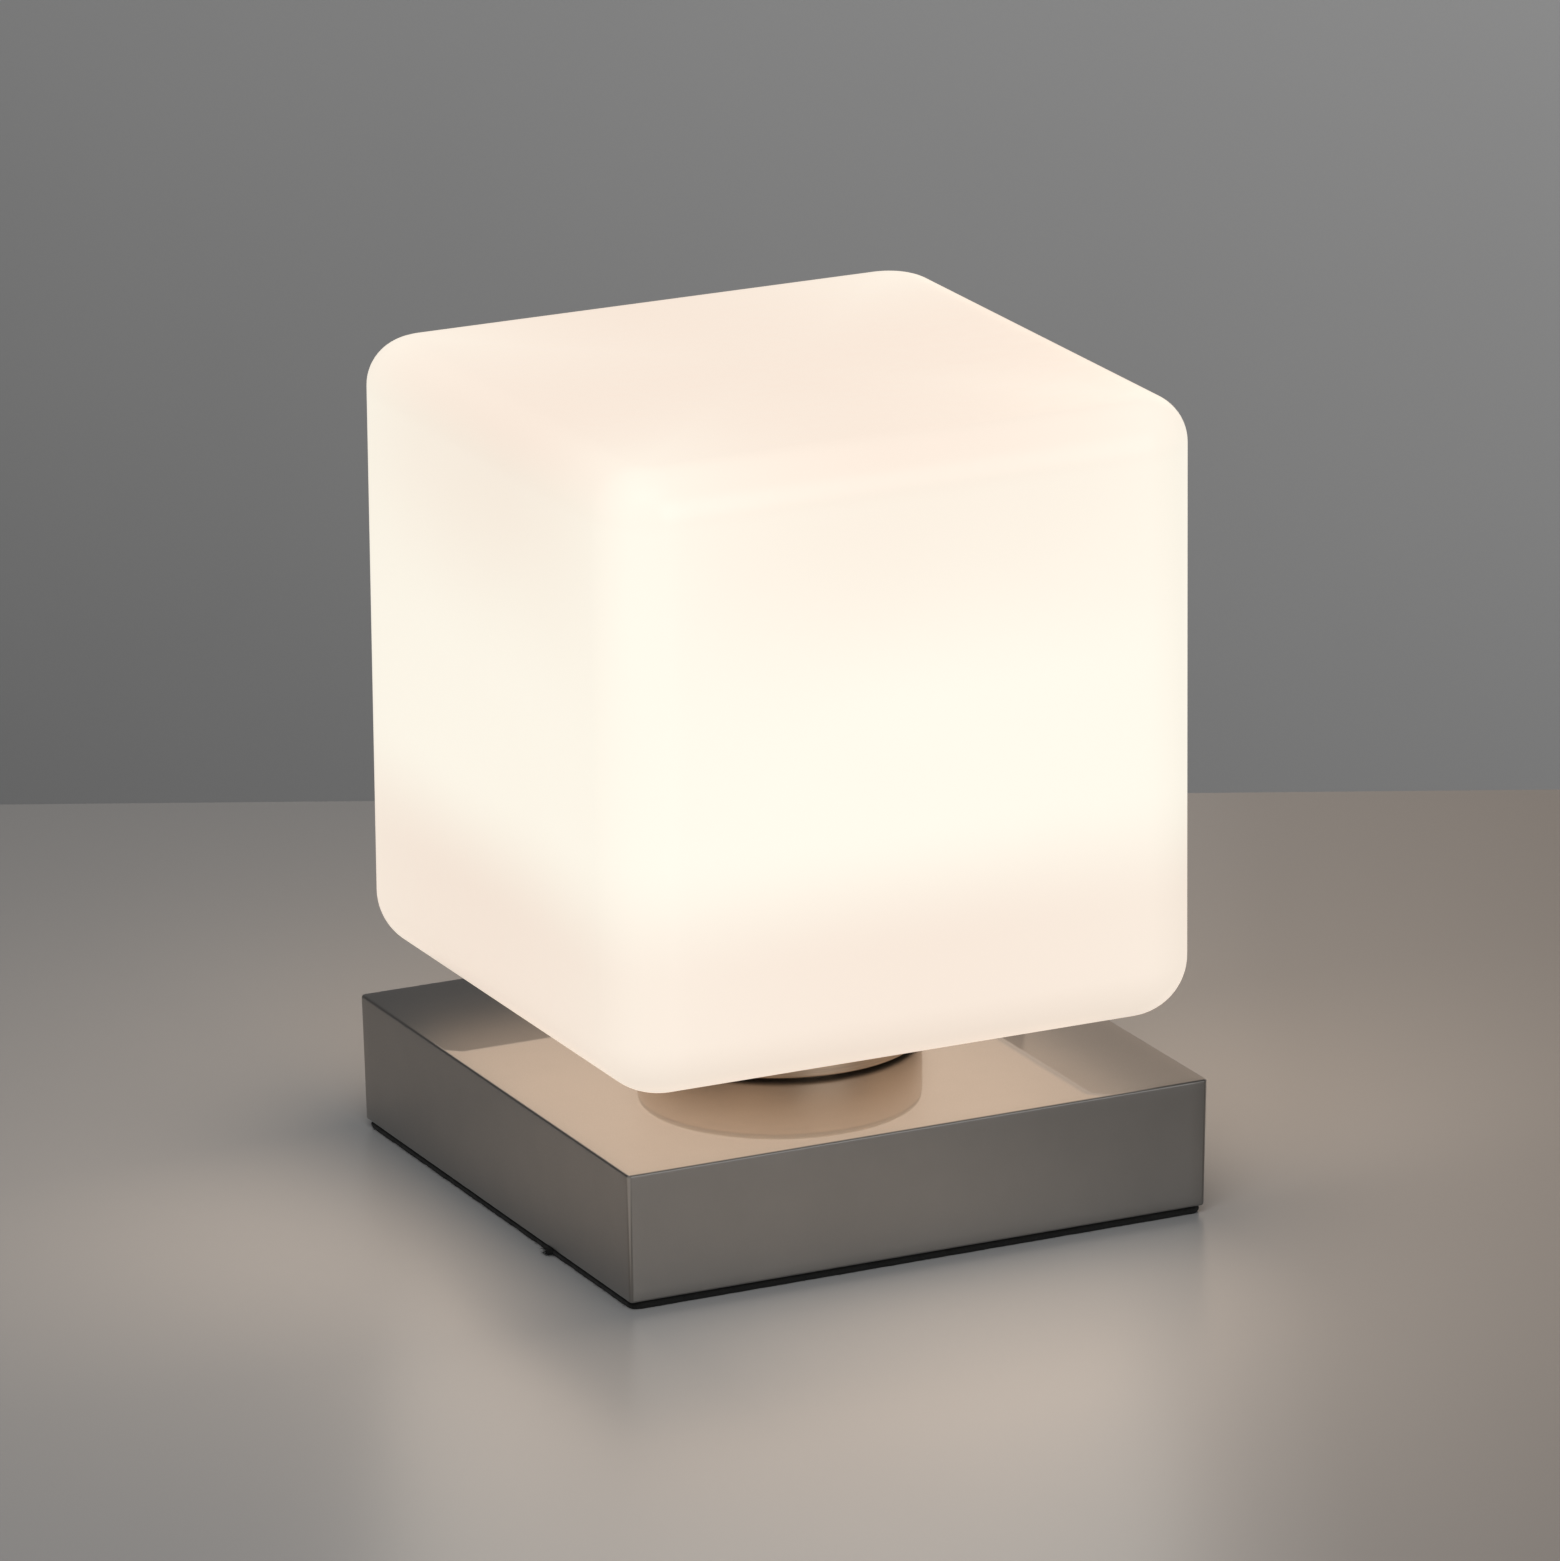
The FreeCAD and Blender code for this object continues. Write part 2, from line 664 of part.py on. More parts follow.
def led_board():
    """Round metal-core board on the heat sink's cap."""
    board = cylinder(board_radius, board_low, board_high)
    low, high = board_low - overrun, board_high + overrun
    hole = cylinder(board_screw_radius + hole_clearance, low, high, board_screw_circle)
    return board.cut([cylinder(board_hole_radius, low, high)] + round_the_axis(hole, board_screw_count))


def led_chips():
    """A ring of light-emitting packages, each with its long side round the ring."""
    chip = block(
        chip_circle - chip_width / 2, chip_circle + chip_width / 2, -chip_length / 2, chip_length / 2,
        board_high, board_high + chip_thick)
    return round_the_axis(chip, chip_count)


def board_screws():
    """Small screws that press the board onto the cap."""
    shank = cylinder(
        board_screw_radius - thread_clearance, board_high - board_thick - board_screw_depth * 4 / 5,
        board_high, board_screw_circle)
    head = cylinder(
        board_screw_head_radius, board_high, board_high + board_screw_head_height, board_screw_circle)
    return round_the_axis(head.fuse(shank).removeSplitter(), board_screw_count)


def led_connector():
    """Plug on the board over the wire hole."""
    half_x, half_y = connector_length / 2, connector_width / 2
    body = block(-half_x, half_x, -half_y, half_y, board_high, board_high + connector_height)
    wall = (connector_width / 2 - led_wire_y - led_wire_radius) / 2
    pit = block(
        -half_x + wall, half_x - wall, -half_y + wall, half_y - wall,
        board_high + connector_height / 2, board_high + connector_height + overrun)
    hole_low, hole_high = board_high - overrun, board_high + connector_height / 4
    holes = [cylinder(led_wire_radius, hole_low, hole_high, 0, side * led_wire_y) for side in (-1, 1)]
    return body.cut([pit] + holes)


def led_diffuser():
    """Opal cap over the board. A bead inside its skirt snaps under the heat sink's cap."""
    skirt_top = diffuser_low + diffuser_skirt
    bead_inner = sink_cap_radius - diffuser_bead
    bead_high = diffuser_low + diffuser_bead_height
    inner_rise = diffuser_dome_rise
    outer_rise = diffuser_dome_rise + diffuser_wall

    def dome(radius, rise):
        # Half of a shallow arch: the chord is the skirt's width, the rise its height.
        sphere = (radius * radius + rise * rise) / (2 * rise)
        half_angle = math.asin(radius / sphere) / 2
        return point(
            sphere * math.sin(half_angle), 0, skirt_top + rise - sphere * (1 - math.cos(half_angle)))

    outer_arc = Part.Arc(
        point(diffuser_radius, 0, skirt_top), dome(diffuser_radius, outer_rise),
        point(0, 0, skirt_top + outer_rise)).toShape()
    inner_arc = Part.Arc(
        point(0, 0, skirt_top + inner_rise), dome(diffuser_inner_radius, inner_rise),
        point(diffuser_inner_radius, 0, skirt_top)).toShape()
    corners = [
        (diffuser_inner_radius, skirt_top), (diffuser_inner_radius, bead_high),
        (bead_inner, bead_high), (bead_inner, diffuser_low), (diffuser_radius, diffuser_low),
        (diffuser_radius, skirt_top)]
    places = [point(r, 0, z) for r, z in corners]
    lines = [Part.makeLine(a, b) for a, b in zip(places, places[1:])]
    crown = Part.makeLine(point(0, 0, skirt_top + outer_rise), point(0, 0, skirt_top + inner_rise))
    return turned(lines + [outer_arc, crown, inner_arc])


def led_wire(side):
    """One of two wires from the driver, up through the threaded tube to the LED board."""
    y = side * led_wire_y
    start = point(driver_low_x + driver_wall + driver_board_gap + output_block_side / 2, y, led_wire_z)
    turn = point(0, y, led_wire_z)
    end = point(0, y, board_high + connector_height / 4)
    return tube_along([start, turn, end], led_wire_radius, led_wire_bend)


def touch_lead():
    """Wire from the ring terminal down to the driver, so that the metal base is the touch switch."""
    barrel_z = touch_wire_z - terminal_barrel_radius + terminal_thick / 2
    corners = [
        point(0, -terminal_tab_length, barrel_z),
        point(0, touch_drop_y, barrel_z),
        point(0, touch_drop_y, led_wire_z),
        point(driver_low_x + driver_wall, touch_drop_y, led_wire_z)]
    bend = min(touch_wire_bend, (barrel_z - led_wire_z) * 2 / 5)
    return tube_along(corners, touch_wire_radius, bend)


def mains_wire_places():
    """The y places of the two wires between terminal block and driver."""
    first = block_centre_y - block_pitch * (block_poles - 1) / 2
    return [first + block_pitch * number for number in range(block_poles)]


def mains_wire(y):
    """Straight insulated lead from a pole of the terminal block into the driver."""
    start = point(block_centre_x + block_length / 2 - wire_entry, y, block_wire_z)
    end = point(driver_low_x + driver_wall, y, block_wire_z)
    return bar(mains_wire_radius, start, end)


def driver_tray():
    """Open plastic tray with two screw ears, board standoffs and slots for its wires."""
    x_low, x_high = driver_low_x, driver_low_x + driver_width
    half = driver_length / 2
    tray = block(x_low, x_high, -half, half, plate_top, driver_lid_low)
    for side in (-1, 1):
        y_end = side * (half + driver_ear_length)
        ear = block(
            driver_centre_x - driver_ear_length / 2, driver_centre_x + driver_ear_length / 2,
            min(0, y_end), max(0, y_end), plate_top, plate_top + driver_ear_thick)
        tray = tray.fuse(ear)
    room = block(
        x_low + driver_wall, x_high - driver_wall, -half + driver_wall, half - driver_wall,
        driver_floor, driver_lid_low + overrun)
    tray = tray.cut(room)
    inset = driver_wall + driver_standoff_inset
    posts = [
        cylinder(driver_standoff_radius, plate_top + driver_wall / 2, driver_board_low, x, y)
        for x in (x_low + inset, x_high - inset) for y in (-half + inset, half - inset)]
    slots = []
    for y in [0, touch_drop_y]:
        reach = led_wire_y + led_wire_radius if y == 0 else touch_wire_radius
        width = reach + driver_slot_clearance
        slots.append(block(
            x_low - overrun, x_low + driver_wall + overrun, y - width, y + width,
            led_wire_z - led_wire_radius - driver_slot_clearance, driver_lid_low + overrun))
    for y in mains_wire_places():
        start = point(x_low - overrun, y, block_wire_z)
        slots.append(bar(mains_wire_radius, start, start + point(driver_wall + 2 * overrun, 0, 0)))
    ears = [
        cylinder(
            screw_radius + hole_clearance, plate_top - overrun, plate_top + driver_ear_thick + overrun,
            driver_centre_x, side * ear_hole_y) for side in (-1, 1)]
    return tray.fuse(posts).removeSplitter().cut(slots + ears)


def driver_lid():
    """Flat lid with a lip that sits inside the tray."""
    x_low, x_high = driver_low_x, driver_low_x + driver_width
    half = driver_length / 2
    top = block(x_low, x_high, -half, half, driver_lid_low, driver_lid_low + driver_lid_thick)
    inset = driver_wall + driver_lid_clearance
    lip = block(
        x_low + inset, x_high - inset, -half + inset, half - inset,
        driver_lid_low - driver_lid_lip, driver_lid_low)
    hollow = inset + driver_wall
    room = block(
        x_low + hollow, x_high - hollow, -half + hollow, half - hollow,
        driver_lid_low - driver_lid_lip - overrun, driver_lid_low)
    return top.fuse(lip.cut(room)).removeSplitter()


def driver_board():
    """Circuit board of the driver and touch dimmer."""
    inset = driver_wall + driver_board_gap
    half = driver_length / 2 - inset
    return block(
        driver_low_x + inset, driver_low_x + driver_width - inset, -half, half,
        driver_board_low, driver_board_high)


def driver_transformer():
    """Small transformer: a ferrite core round a wider winding."""
    side, core = transformer_side / 2, transformer_core_width / 2
    x, y, low = driver_centre_x, transformer_y, driver_board_high
    ferrite = block(x - side, x + side, y - core, y + core, low, low + transformer_height)
    winding = block(
        x - side / 2, x + side / 2, y - side, y + side,
        low, low + transformer_height - driver_wall)
    return ferrite.fuse(winding).removeSplitter()


def driver_capacitor():
    """Smoothing capacitor lying on the board."""
    half = capacitor_length / 2
    z = driver_board_high + capacitor_radius
    start = point(driver_centre_x - half, capacitor_y, z)
    return bar(capacitor_radius, start, start + point(capacitor_length, 0, 0))


def driver_output_block():
    """Connector on the board's edge, where the two LED wires end."""
    x_low = driver_low_x + driver_wall + driver_board_gap
    half = output_block_side / 2
    body = block(
        x_low, x_low + output_block_side, -half, half,
        driver_board_high, driver_board_high + output_block_height)
    holes = [
        bar(led_wire_radius, point(x_low - overrun, side * led_wire_y, led_wire_z),
            point(x_low + half, side * led_wire_y, led_wire_z)) for side in (-1, 1)]
    return body.cut(holes)


def driver_screws():
    """Two screws through the tray's ears into the plate."""
    seat = plate_top + driver_ear_thick
    length = driver_ear_thick + plate_thick
    return [pan_screw(driver_centre_x, side * ear_hole_y, seat, length, True) for side in (-1, 1)]


def block_screw_places():
    """The clamping screws of the terminal block, two to a pole."""
    reach = block_length / 2 - block_screw_inset
    return [(block_centre_x + side * reach, y) for y in mains_wire_places() for side in (-1, 1)]


def terminal_block():
    """Two-pole screw terminal block with a funnelled wire hole at each end of a pole."""
    half = block_length / 2
    width = block_pitch * block_poles / 2
    x, y = block_centre_x, block_centre_y
    body = block(x - half, x + half, y - width, y + width, plate_top, plate_top + block_height)
    cuts = []
    for wire_y in mains_wire_places():
        cuts.append(bar(block_sleeve_radius, point(x - half - overrun, wire_y, block_wire_z),
                        point(x + half + overrun, wire_y, block_wire_z)))
        for side in (-1, 1):
            mouth = point(x + side * half, wire_y, block_wire_z)
            funnel = Part.makeCone(
                block_funnel_radius, block_sleeve_radius, block_funnel_depth, mouth, point(-side, 0, 0))
            cuts.append(funnel)
    top = plate_top + block_height
    for place in block_screw_places():
        cuts.append(cylinder(block_screw_radius, block_wire_z, top + overrun, *place))
    seat = plate_top + block_height / 2
    head_room = cylinder(screw_head_radius + hole_clearance, seat, top + overrun, x, y)
    shank_room = cylinder(screw_radius + hole_clearance, plate_top - overrun, top, x, y)
    return body.cut(cuts + [head_room, shank_room])


def block_mount_screw():
    """Screw down the middle of the terminal block into the plate."""
    seat = plate_top + block_height / 2
    return pan_screw(block_centre_x, block_centre_y, seat, block_height / 2 + plate_thick, True)


def terminal_screws():
    """Slotted clamping screws of the terminal block, each screwed down onto its wire's level."""
    top = plate_top + block_height - screw_slot_depth
    screws = []
    for x, y in block_screw_places():
        radius = block_screw_radius - thread_clearance
        screw = cylinder(radius, top - block_screw_height, top, x, y)
        half = screw_slot_width / 2
        slot = block(x - radius, x + radius, y - half, y + half, top - screw_slot_depth, top + overrun)
        screws.append(screw.cut(slot))
    return screws


def cord_clamp_base():
    """Lower half of the cord clamp, with half of the cord's round groove."""
    half, depth = clamp_width / 2, clamp_depth / 2
    high = cord_axis_z - clamp_bar_gap / 2
    body = block(-half, half, clamp_centre_y - depth, clamp_centre_y + depth, plate_top, high)
    return body.cut([clamp_groove()] + clamp_holes())


def cord_clamp_bar():
    """Upper half of the cord clamp, drawn down by two screws."""
    half, depth = clamp_width / 2, clamp_depth / 2
    low = cord_axis_z + clamp_bar_gap / 2
    high = low + clamp_bar_height
    body = block(-half, half, clamp_centre_y - depth, clamp_centre_y + depth, low, high)
    body = body.makeFillet(clamp_edge_radius, edges_at(body, high))
    return body.cut([clamp_groove()] + clamp_holes())


def clamp_groove():
    """The room that the clamp leaves for the cord."""
    reach = clamp_depth / 2 + overrun
    return bar(cord_radius, point(0, clamp_centre_y - reach, cord_axis_z),
               point(0, clamp_centre_y + reach, cord_axis_z))


def clamp_holes():
    """Screw holes through both halves of the clamp."""
    high = cord_axis_z + clamp_bar_gap / 2 + clamp_bar_height + overrun
    return [cylinder(screw_radius + hole_clearance, plate_top - overrun, high, side * clamp_screw_span / 2,
                     clamp_centre_y) for side in (-1, 1)]


def clamp_screws():
    """Two screws that draw the clamp's halves together on the plate."""
    seat = cord_axis_z + clamp_bar_gap / 2 + clamp_bar_height
    length = seat - rim_z
    return [pan_screw(side * clamp_screw_span / 2, clamp_centre_y, seat, length, True) for side in (-1, 1)]


def cord_bush(cover):
    """Rubber bush pressed into the rear wall. Its two flanges take the slope of the wall."""
    start = point(0, wall_inner_y - bush_flange_thick, cord_axis_z)
    end = point(0, wall_outer_y + bush_flange_thick, cord_axis_z)
    spool = bar(bush_flange_radius, start, end)
    outer_edge = [e for e in spool.Edges if abs(e.BoundBox.YMin - end.y) < level_nearness]
    spool = spool.makeFillet(bush_edge_radius, outer_edge)
    bore = bar(cord_radius, start - point(0, overrun, 0), end + point(0, overrun, 0))
    pieces = spool.cut([cover, bore]).Solids
    return max(pieces, key=lambda piece: piece.Volume)


def save(name, shape):
    """Writes one named piece, or one named group of separate pieces."""
    solids = shape if isinstance(shape, list) else [shape]
    whole = solids[0] if len(solids) == 1 else Part.makeCompound(solids)
    whole.exportStep(os.path.join("parts", name + ".step"))
    sound = whole.isValid() and all(s.Volume > 0 for s in whole.Solids)
    state = "ok" if sound else "BAD"
    print(f"{name:24s} solids {len(whole.Solids):3d}  volume {whole.Volume:10.1f}  {state}")


def main():
    os.makedirs("parts", exist_ok=True)
    cover = base_cover()
    save("base_cover", cover)
    save("base_plate", base_plate())
    save("felt_pad", felt_pad())
    save("plate_screws", plate_screws())
    save("ballast_plate", ballast_plate())
    save("threaded_nipple", threaded_nipple())
    save("lower_nut", hex_nut(lower_nut_low))
    save("upper_nut", hex_nut(upper_nut_low))
    save("lower_lock_washer", lock_washer(lower_washer_low))
    save("upper_lock_washer", lock_washer(carrier_top))
    save("touch_ring_terminal", touch_ring_terminal())
    save("touch_lead", touch_lead())
    save("holder_cup", holder_cup())
    carrier = spring_carrier()
    save("spring_carrier", carrier)
    fingers = [clip_spring(angle) for angle in finger_angles()]
    for number, finger in enumerate(fingers, 1):
        save(f"clip_spring_{number}", finger)
    save("spring_rivets", spring_rivets(carrier, fingers))
    save("seat_ring", seat_ring())
    save("glass_shade", glass_shade())
    save("heat_sink", heat_sink())
    save("heat_sink_screws", heat_sink_screws())
    save("led_board", led_board())
    save("led_chips", led_chips())
    save("board_screws", board_screws())
    save("led_connector", led_connector())
    save("led_diffuser", led_diffuser())
    save("led_wire_plus", led_wire(1))
    save("led_wire_minus", led_wire(-1))
    save("driver_tray", driver_tray())
    save("driver_lid", driver_lid())
    save("driver_board", driver_board())
    save("driver_transformer", driver_transformer())
    save("driver_capacitor", driver_capacitor())
    save("driver_output_block", driver_output_block())
    save("driver_screws", driver_screws())
    save("terminal_block", terminal_block())
    save("terminal_screws", terminal_screws())
    save("block_mount_screw", block_mount_screw())
    live_y, neutral_y = mains_wire_places()
    save("mains_wire_live", mains_wire(live_y))
    save("mains_wire_neutral", mains_wire(neutral_y))
    save("cord_clamp_base", cord_clamp_base())
    save("cord_clamp_bar", cord_clamp_bar())
    save("clamp_screws", clamp_screws())
    save("cord_bush", cord_bush(cover))


main()
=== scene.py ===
import json
import math

import bpy
import numpy as np
from bpy.props import FloatProperty, FloatVectorProperty, IntProperty, PointerProperty
from mathutils import Matrix, Vector

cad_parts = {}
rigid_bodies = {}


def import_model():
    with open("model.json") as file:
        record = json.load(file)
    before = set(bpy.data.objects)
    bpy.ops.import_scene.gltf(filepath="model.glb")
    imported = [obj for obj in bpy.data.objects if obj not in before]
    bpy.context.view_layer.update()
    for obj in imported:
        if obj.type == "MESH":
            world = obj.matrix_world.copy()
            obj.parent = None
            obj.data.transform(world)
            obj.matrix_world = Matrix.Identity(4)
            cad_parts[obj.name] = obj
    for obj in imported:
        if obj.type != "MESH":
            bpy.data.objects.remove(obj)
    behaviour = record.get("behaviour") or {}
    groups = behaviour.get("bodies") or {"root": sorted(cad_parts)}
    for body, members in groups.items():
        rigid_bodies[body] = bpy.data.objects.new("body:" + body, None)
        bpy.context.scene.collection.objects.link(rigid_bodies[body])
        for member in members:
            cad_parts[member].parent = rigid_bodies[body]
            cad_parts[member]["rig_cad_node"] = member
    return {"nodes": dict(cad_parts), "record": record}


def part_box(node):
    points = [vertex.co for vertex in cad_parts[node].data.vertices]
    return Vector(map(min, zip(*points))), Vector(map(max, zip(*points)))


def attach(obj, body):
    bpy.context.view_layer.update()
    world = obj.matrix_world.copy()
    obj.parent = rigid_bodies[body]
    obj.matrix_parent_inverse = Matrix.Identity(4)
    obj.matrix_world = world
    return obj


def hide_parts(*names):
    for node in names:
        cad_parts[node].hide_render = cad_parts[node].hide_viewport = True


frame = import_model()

bl_info = {
    "name": "Cube Table Lamp",
    "version": (1, 0, 0),
    "blender": (4, 5, 0),
    "location": "3D View > Sidebar > Cube Lamp",
    "description": "Builds an opal glass cube lamp on a satin nickel base, piece by piece",
    "category": "Object",
}

MM = 0.001
NEARNESS = 0.00002 * MM        # points nearer than this are one point
WHITE = (1.0, 1.0, 1.0)

# The camera that the photograph was taken with, solved from the object's straight edges.
# Lengths are in metres, angles in degrees, and the focal length is in pixels of the frame.
CAMERA_PLACE = (-0.93578, -1.93673, 0.74436)
CAMERA_YAW = 25.805
CAMERA_PITCH = 17.234
CAMERA_ROLL = -0.554
CAMERA_FOCAL_PX = 11987.75
FRAME_LONG_SIDE_PX = 1561
SENSOR_WIDTH_MM = 36.0


def node_box(node):
    """The lowest and highest corner of a CAD node, in metres."""
    return [[float(c) for c in corner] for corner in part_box(node)]


COVER_LOW, COVER_HIGH = node_box("base_cover")
FELT_LOW, FELT_HIGH = node_box("felt_pad")
CUP_LOW, CUP_HIGH = node_box("holder_cup")
RING_LOW, RING_HIGH = node_box("seat_ring")
GLASS_LOW, GLASS_HIGH = node_box("glass_shade")
DOME_LOW, DOME_HIGH = node_box("led_diffuser")


# Sizes and colours that a user would change

class BaseSettings(bpy.types.PropertyGroup):
    corner_radius: FloatProperty(
        name="Corner radius", description="Plan radius of the base's upright edges",
        default=0.9 * MM, unit="LENGTH")
    top_edge_radius: FloatProperty(
        name="Top edge radius", description="Rounding between the base's top and walls",
        default=0.45 * MM, unit="LENGTH")
    rim_radius: FloatProperty(
        name="Rim radius", description="Rounding along the foot of the walls",
        default=0.5 * MM, unit="LENGTH")
    draft_inset: FloatProperty(
        name="Draft", description="How far each wall leans in from its top to its foot",
        default=0.4 * MM, unit="LENGTH")
    wall: FloatProperty(
        name="Wall", description="Thickness of the cast walls", default=2.2 * MM, unit="LENGTH")
    top_thickness: FloatProperty(
        name="Top thickness", description="Thickness of the cast top", default=2.5 * MM, unit="LENGTH")
    nickel_colour: FloatVectorProperty(
        name="Nickel", description="Colour of the satin nickel seen straight on",
        subtype="COLOR", default=(0.27, 0.255, 0.237))
    lacquer_roughness: FloatProperty(
        name="Lacquer roughness", description="Roughness of the clear coat over the nickel",
        default=0.025, min=0.0, max=1.0)


class FeltSettings(bpy.types.PropertyGroup):
    fibre_count: IntProperty(
        name="Fibres", description="Loose fibres along the felt's cut edge", default=1500)
    fibre_length: FloatProperty(
        name="Fibre length", description="Length of the longest loose fibre",
        default=1.1 * MM, unit="LENGTH")
    overhang: FloatProperty(
        name="Overhang", description="How far the pressed felt swells past its cut size",
        default=1.5 * MM, unit="LENGTH")
    tuft_place: FloatProperty(
        name="Tuft place",
        description="Where a loose tuft stands on the left edge, from its middle to the front",
        default=23.9 * MM, unit="LENGTH")
    tuft_fibres: IntProperty(
        name="Tuft fibres", description="Fibres of the loose tuft", default=260)
    felt_colour: FloatVectorProperty(
        name="Felt", description="Colour of the felt",
        subtype="COLOR", default=(0.005, 0.005, 0.0047))


class GlassSettings(bpy.types.PropertyGroup):
    wall: FloatProperty(
        name="Wall", description="Thickness of the opal glass", default=3.5 * MM, unit="LENGTH")
    corner_radius: FloatProperty(
        name="Corner radius", description="Plan radius of the upright edges",
        default=12.5 * MM, unit="LENGTH")
    top_edge_radius: FloatProperty(
        name="Top edge radius", description="Rounding between top and sides",
        default=9.0 * MM, unit="LENGTH")
    bottom_edge_radius: FloatProperty(
        name="Bottom edge radius", description="Rounding between sides and floor",
        default=11.5 * MM, unit="LENGTH")
    mouth_radius: FloatProperty(
        name="Mouth radius", description="Radius of the round hole in the floor",
        default=23.0 * MM, unit="LENGTH")
    mouth_edge_radius: FloatProperty(
        name="Mouth edge radius", description="Fire-polished rounding of the mouth's edges",
        default=1.0 * MM, unit="LENGTH")
    glow_colour: FloatVectorProperty(
        name="Glow", description="Light of the glass level with the light source",
        subtype="COLOR", default=(0.580, 0.547, 0.475))
    top_colour: FloatVectorProperty(
        name="Top", description="Light of the middle of the glass's top",
        subtype="COLOR", default=(0.512, 0.428, 0.359))
    foot_colour: FloatVectorProperty(
        name="Foot", description="Light of the glass's sides below the light source",
        subtype="COLOR", default=(0.525, 0.447, 0.380))
    underside_colour: FloatVectorProperty(
        name="Underside", description="Light of the glass floor, which looks at the base",
        subtype="COLOR", default=(0.86, 0.66, 0.505))
    light_strength: FloatProperty(
        name="Light strength", description="How strongly the glass shines", default=1.5)


class StageSettings(bpy.types.PropertyGroup):
    floor_colour: FloatVectorProperty(
        name="Floor", description="Colour of the plain table top", subtype="COLOR",
        default=(0.215, 0.215, 0.215))
    # painted shade: the darker colour of the table top's right side, in place of the shade that falls
    # there
    floor_painted_shade: FloatVectorProperty(
        name="Floor's right side", description="Colour of the table top to the right of the lamp",
        subtype="COLOR", default=(0.115, 0.115, 0.115))
    # painted light and shade: the backdrop's two colours stand in for how the light falls on it
    backdrop_painted_shade: FloatVectorProperty(
        name="Backdrop low left", description="Colour of the plain backdrop low on its left",
        subtype="COLOR", default=(0.283, 0.283, 0.283))
    backdrop_painted_light: FloatVectorProperty(
        name="Backdrop high right", description="Colour of the plain backdrop high on its right",
        subtype="COLOR", default=(0.54, 0.54, 0.54))
    table_edge: FloatProperty(
        name="Table edge", description="How far the table top reaches behind the lamp",
        default=0.237, unit="LENGTH")
    wall_distance: FloatProperty(
        name="Backdrop distance", description="How far the backdrop stands behind the lamp",
        default=2.7, unit="LENGTH")
    sky_strength: FloatProperty(
        name="Sky", description="Strength of the even light from all round", default=0.33)
    room_grey: FloatProperty(
        name="Room", description="Grey of the far walls, seen or mirrored", default=0.16)
    key_strength: FloatProperty(
        name="Key light", description="Power of the large soft light above, in watts", default=28.0)
    side_strength: FloatProperty(
        name="Side light", description="Power of the low soft light at the front right, in watts",
        default=9.2)
    rear_strength: FloatProperty(
        name="Rear reflector", description="Power of the weak warm panel at the rear right, in watts",
        default=0.4)
    glow_strength: FloatProperty(
        name="Lamp light", description="Power that each side of the glass lends the table, in watts",
        default=0.28)


def settings(name):
    """The scene's settings of one group."""
    return getattr(bpy.context.scene, "lamp_" + name)


# Meshes: every new surface is a grid of points worked out as whole arrays

def mesh_from_arrays(name, points, faces):
    """Puts an array of points and an array of quads into a new smooth object at the origin.

    Doubles are merged. A quad that has two equal neighbours at a pole becomes a triangle, and one
    that has shrunk to a line or a point is dropped.
    """
    points = points.reshape(-1, 3)
    cells = np.round(points / NEARNESS) + 0.0
    _, first, same = np.unique(cells, axis=0, return_index=True, return_inverse=True)
    quads = same.reshape(-1)[faces]
    differs = quads != np.roll(quads, -1, axis=1)
    sides = differs.sum(axis=1)
    pinched = quads[sides == 3][differs[sides == 3]].reshape(-1, 3)
    mesh = bpy.data.meshes.new(name)
    mesh.from_pydata(points[first].tolist(), [], quads[sides == 4].tolist() + pinched.tolist())
    mesh.validate()
    mesh.polygons.foreach_set("use_smooth", np.full(len(mesh.polygons), True))
    mesh.update()
    piece = bpy.data.objects.new(name, mesh)
    bpy.context.scene.collection.objects.link(piece)
    return piece


def grid_faces(rows, columns, closed_rows=False, closed_columns=True):
    """Quads of a grid whose columns, and rows if asked, run on from the last to the first."""
    row = np.arange(rows if closed_rows else rows - 1)
    column = np.arange(columns if closed_columns else columns - 1)
    r, c = np.meshgrid(row, column, indexing="ij")
    here, below, c_next = r * columns, (r + 1) % rows * columns, (c + 1) % columns
    quads = np.stack([here + c, here + c_next, below + c_next, below + c], -1)
    return quads.reshape(-1, 4)


def square_outline(per_corner, per_side):
    """The unit walk round a square: q on its edge and the outward normal n, as two (count, 2) arrays.

    q stays on a corner while n swings through a quarter turn, and moves from one corner to the
    next while n stays. A rounded square of half width h and corner radius c is (h - c) q + c n.
    """
    swing = np.linspace(0, math.pi / 2, per_corner)
    walk = np.linspace(0, 1, per_side + 2)[1:-1]
    q = np.stack([1 - 2 * walk, np.ones_like(walk)], -1)
    q = np.concatenate([np.ones((per_corner, 2)), q])
    n = np.stack([np.cos(swing), np.sin(swing)], -1)
    n = np.concatenate([n, np.tile([0.0, 1.0], (per_side, 1))])
    turn = np.arange(4) * math.pi / 2
    spin = np.stack([np.cos(turn), np.sin(turn), -np.sin(turn), np.cos(turn)], -1).reshape(4, 2, 2)
    return (q @ spin).reshape(-1, 2), (n @ spin).reshape(-1, 2)


def square_loft(profile, per_corner, per_side):
    """Points of a rounded square carried along a profile of rows (half width, corner radius, z).

    Each row's ring is (half - corner) q + corner n at its own height.
    """
    q, n = square_outline(per_corner, per_side)
    half, corner, z = np.array(profile).T[:, :, None, None]
    flat = (half - corner) * q[None] + corner * n[None]
    height = np.broadcast_to(z, flat.shape[:2] + (1,))
    return np.concatenate([flat, height], -1)


def arc_of(radius, start_deg, end_deg, count):
    """Points of an arc round zero, as (across, up) pairs: radius times cosine and sine."""
    angle = np.radians(np.linspace(start_deg, end_deg, count))
    return radius * np.stack([np.cos(angle), np.sin(angle)], -1)


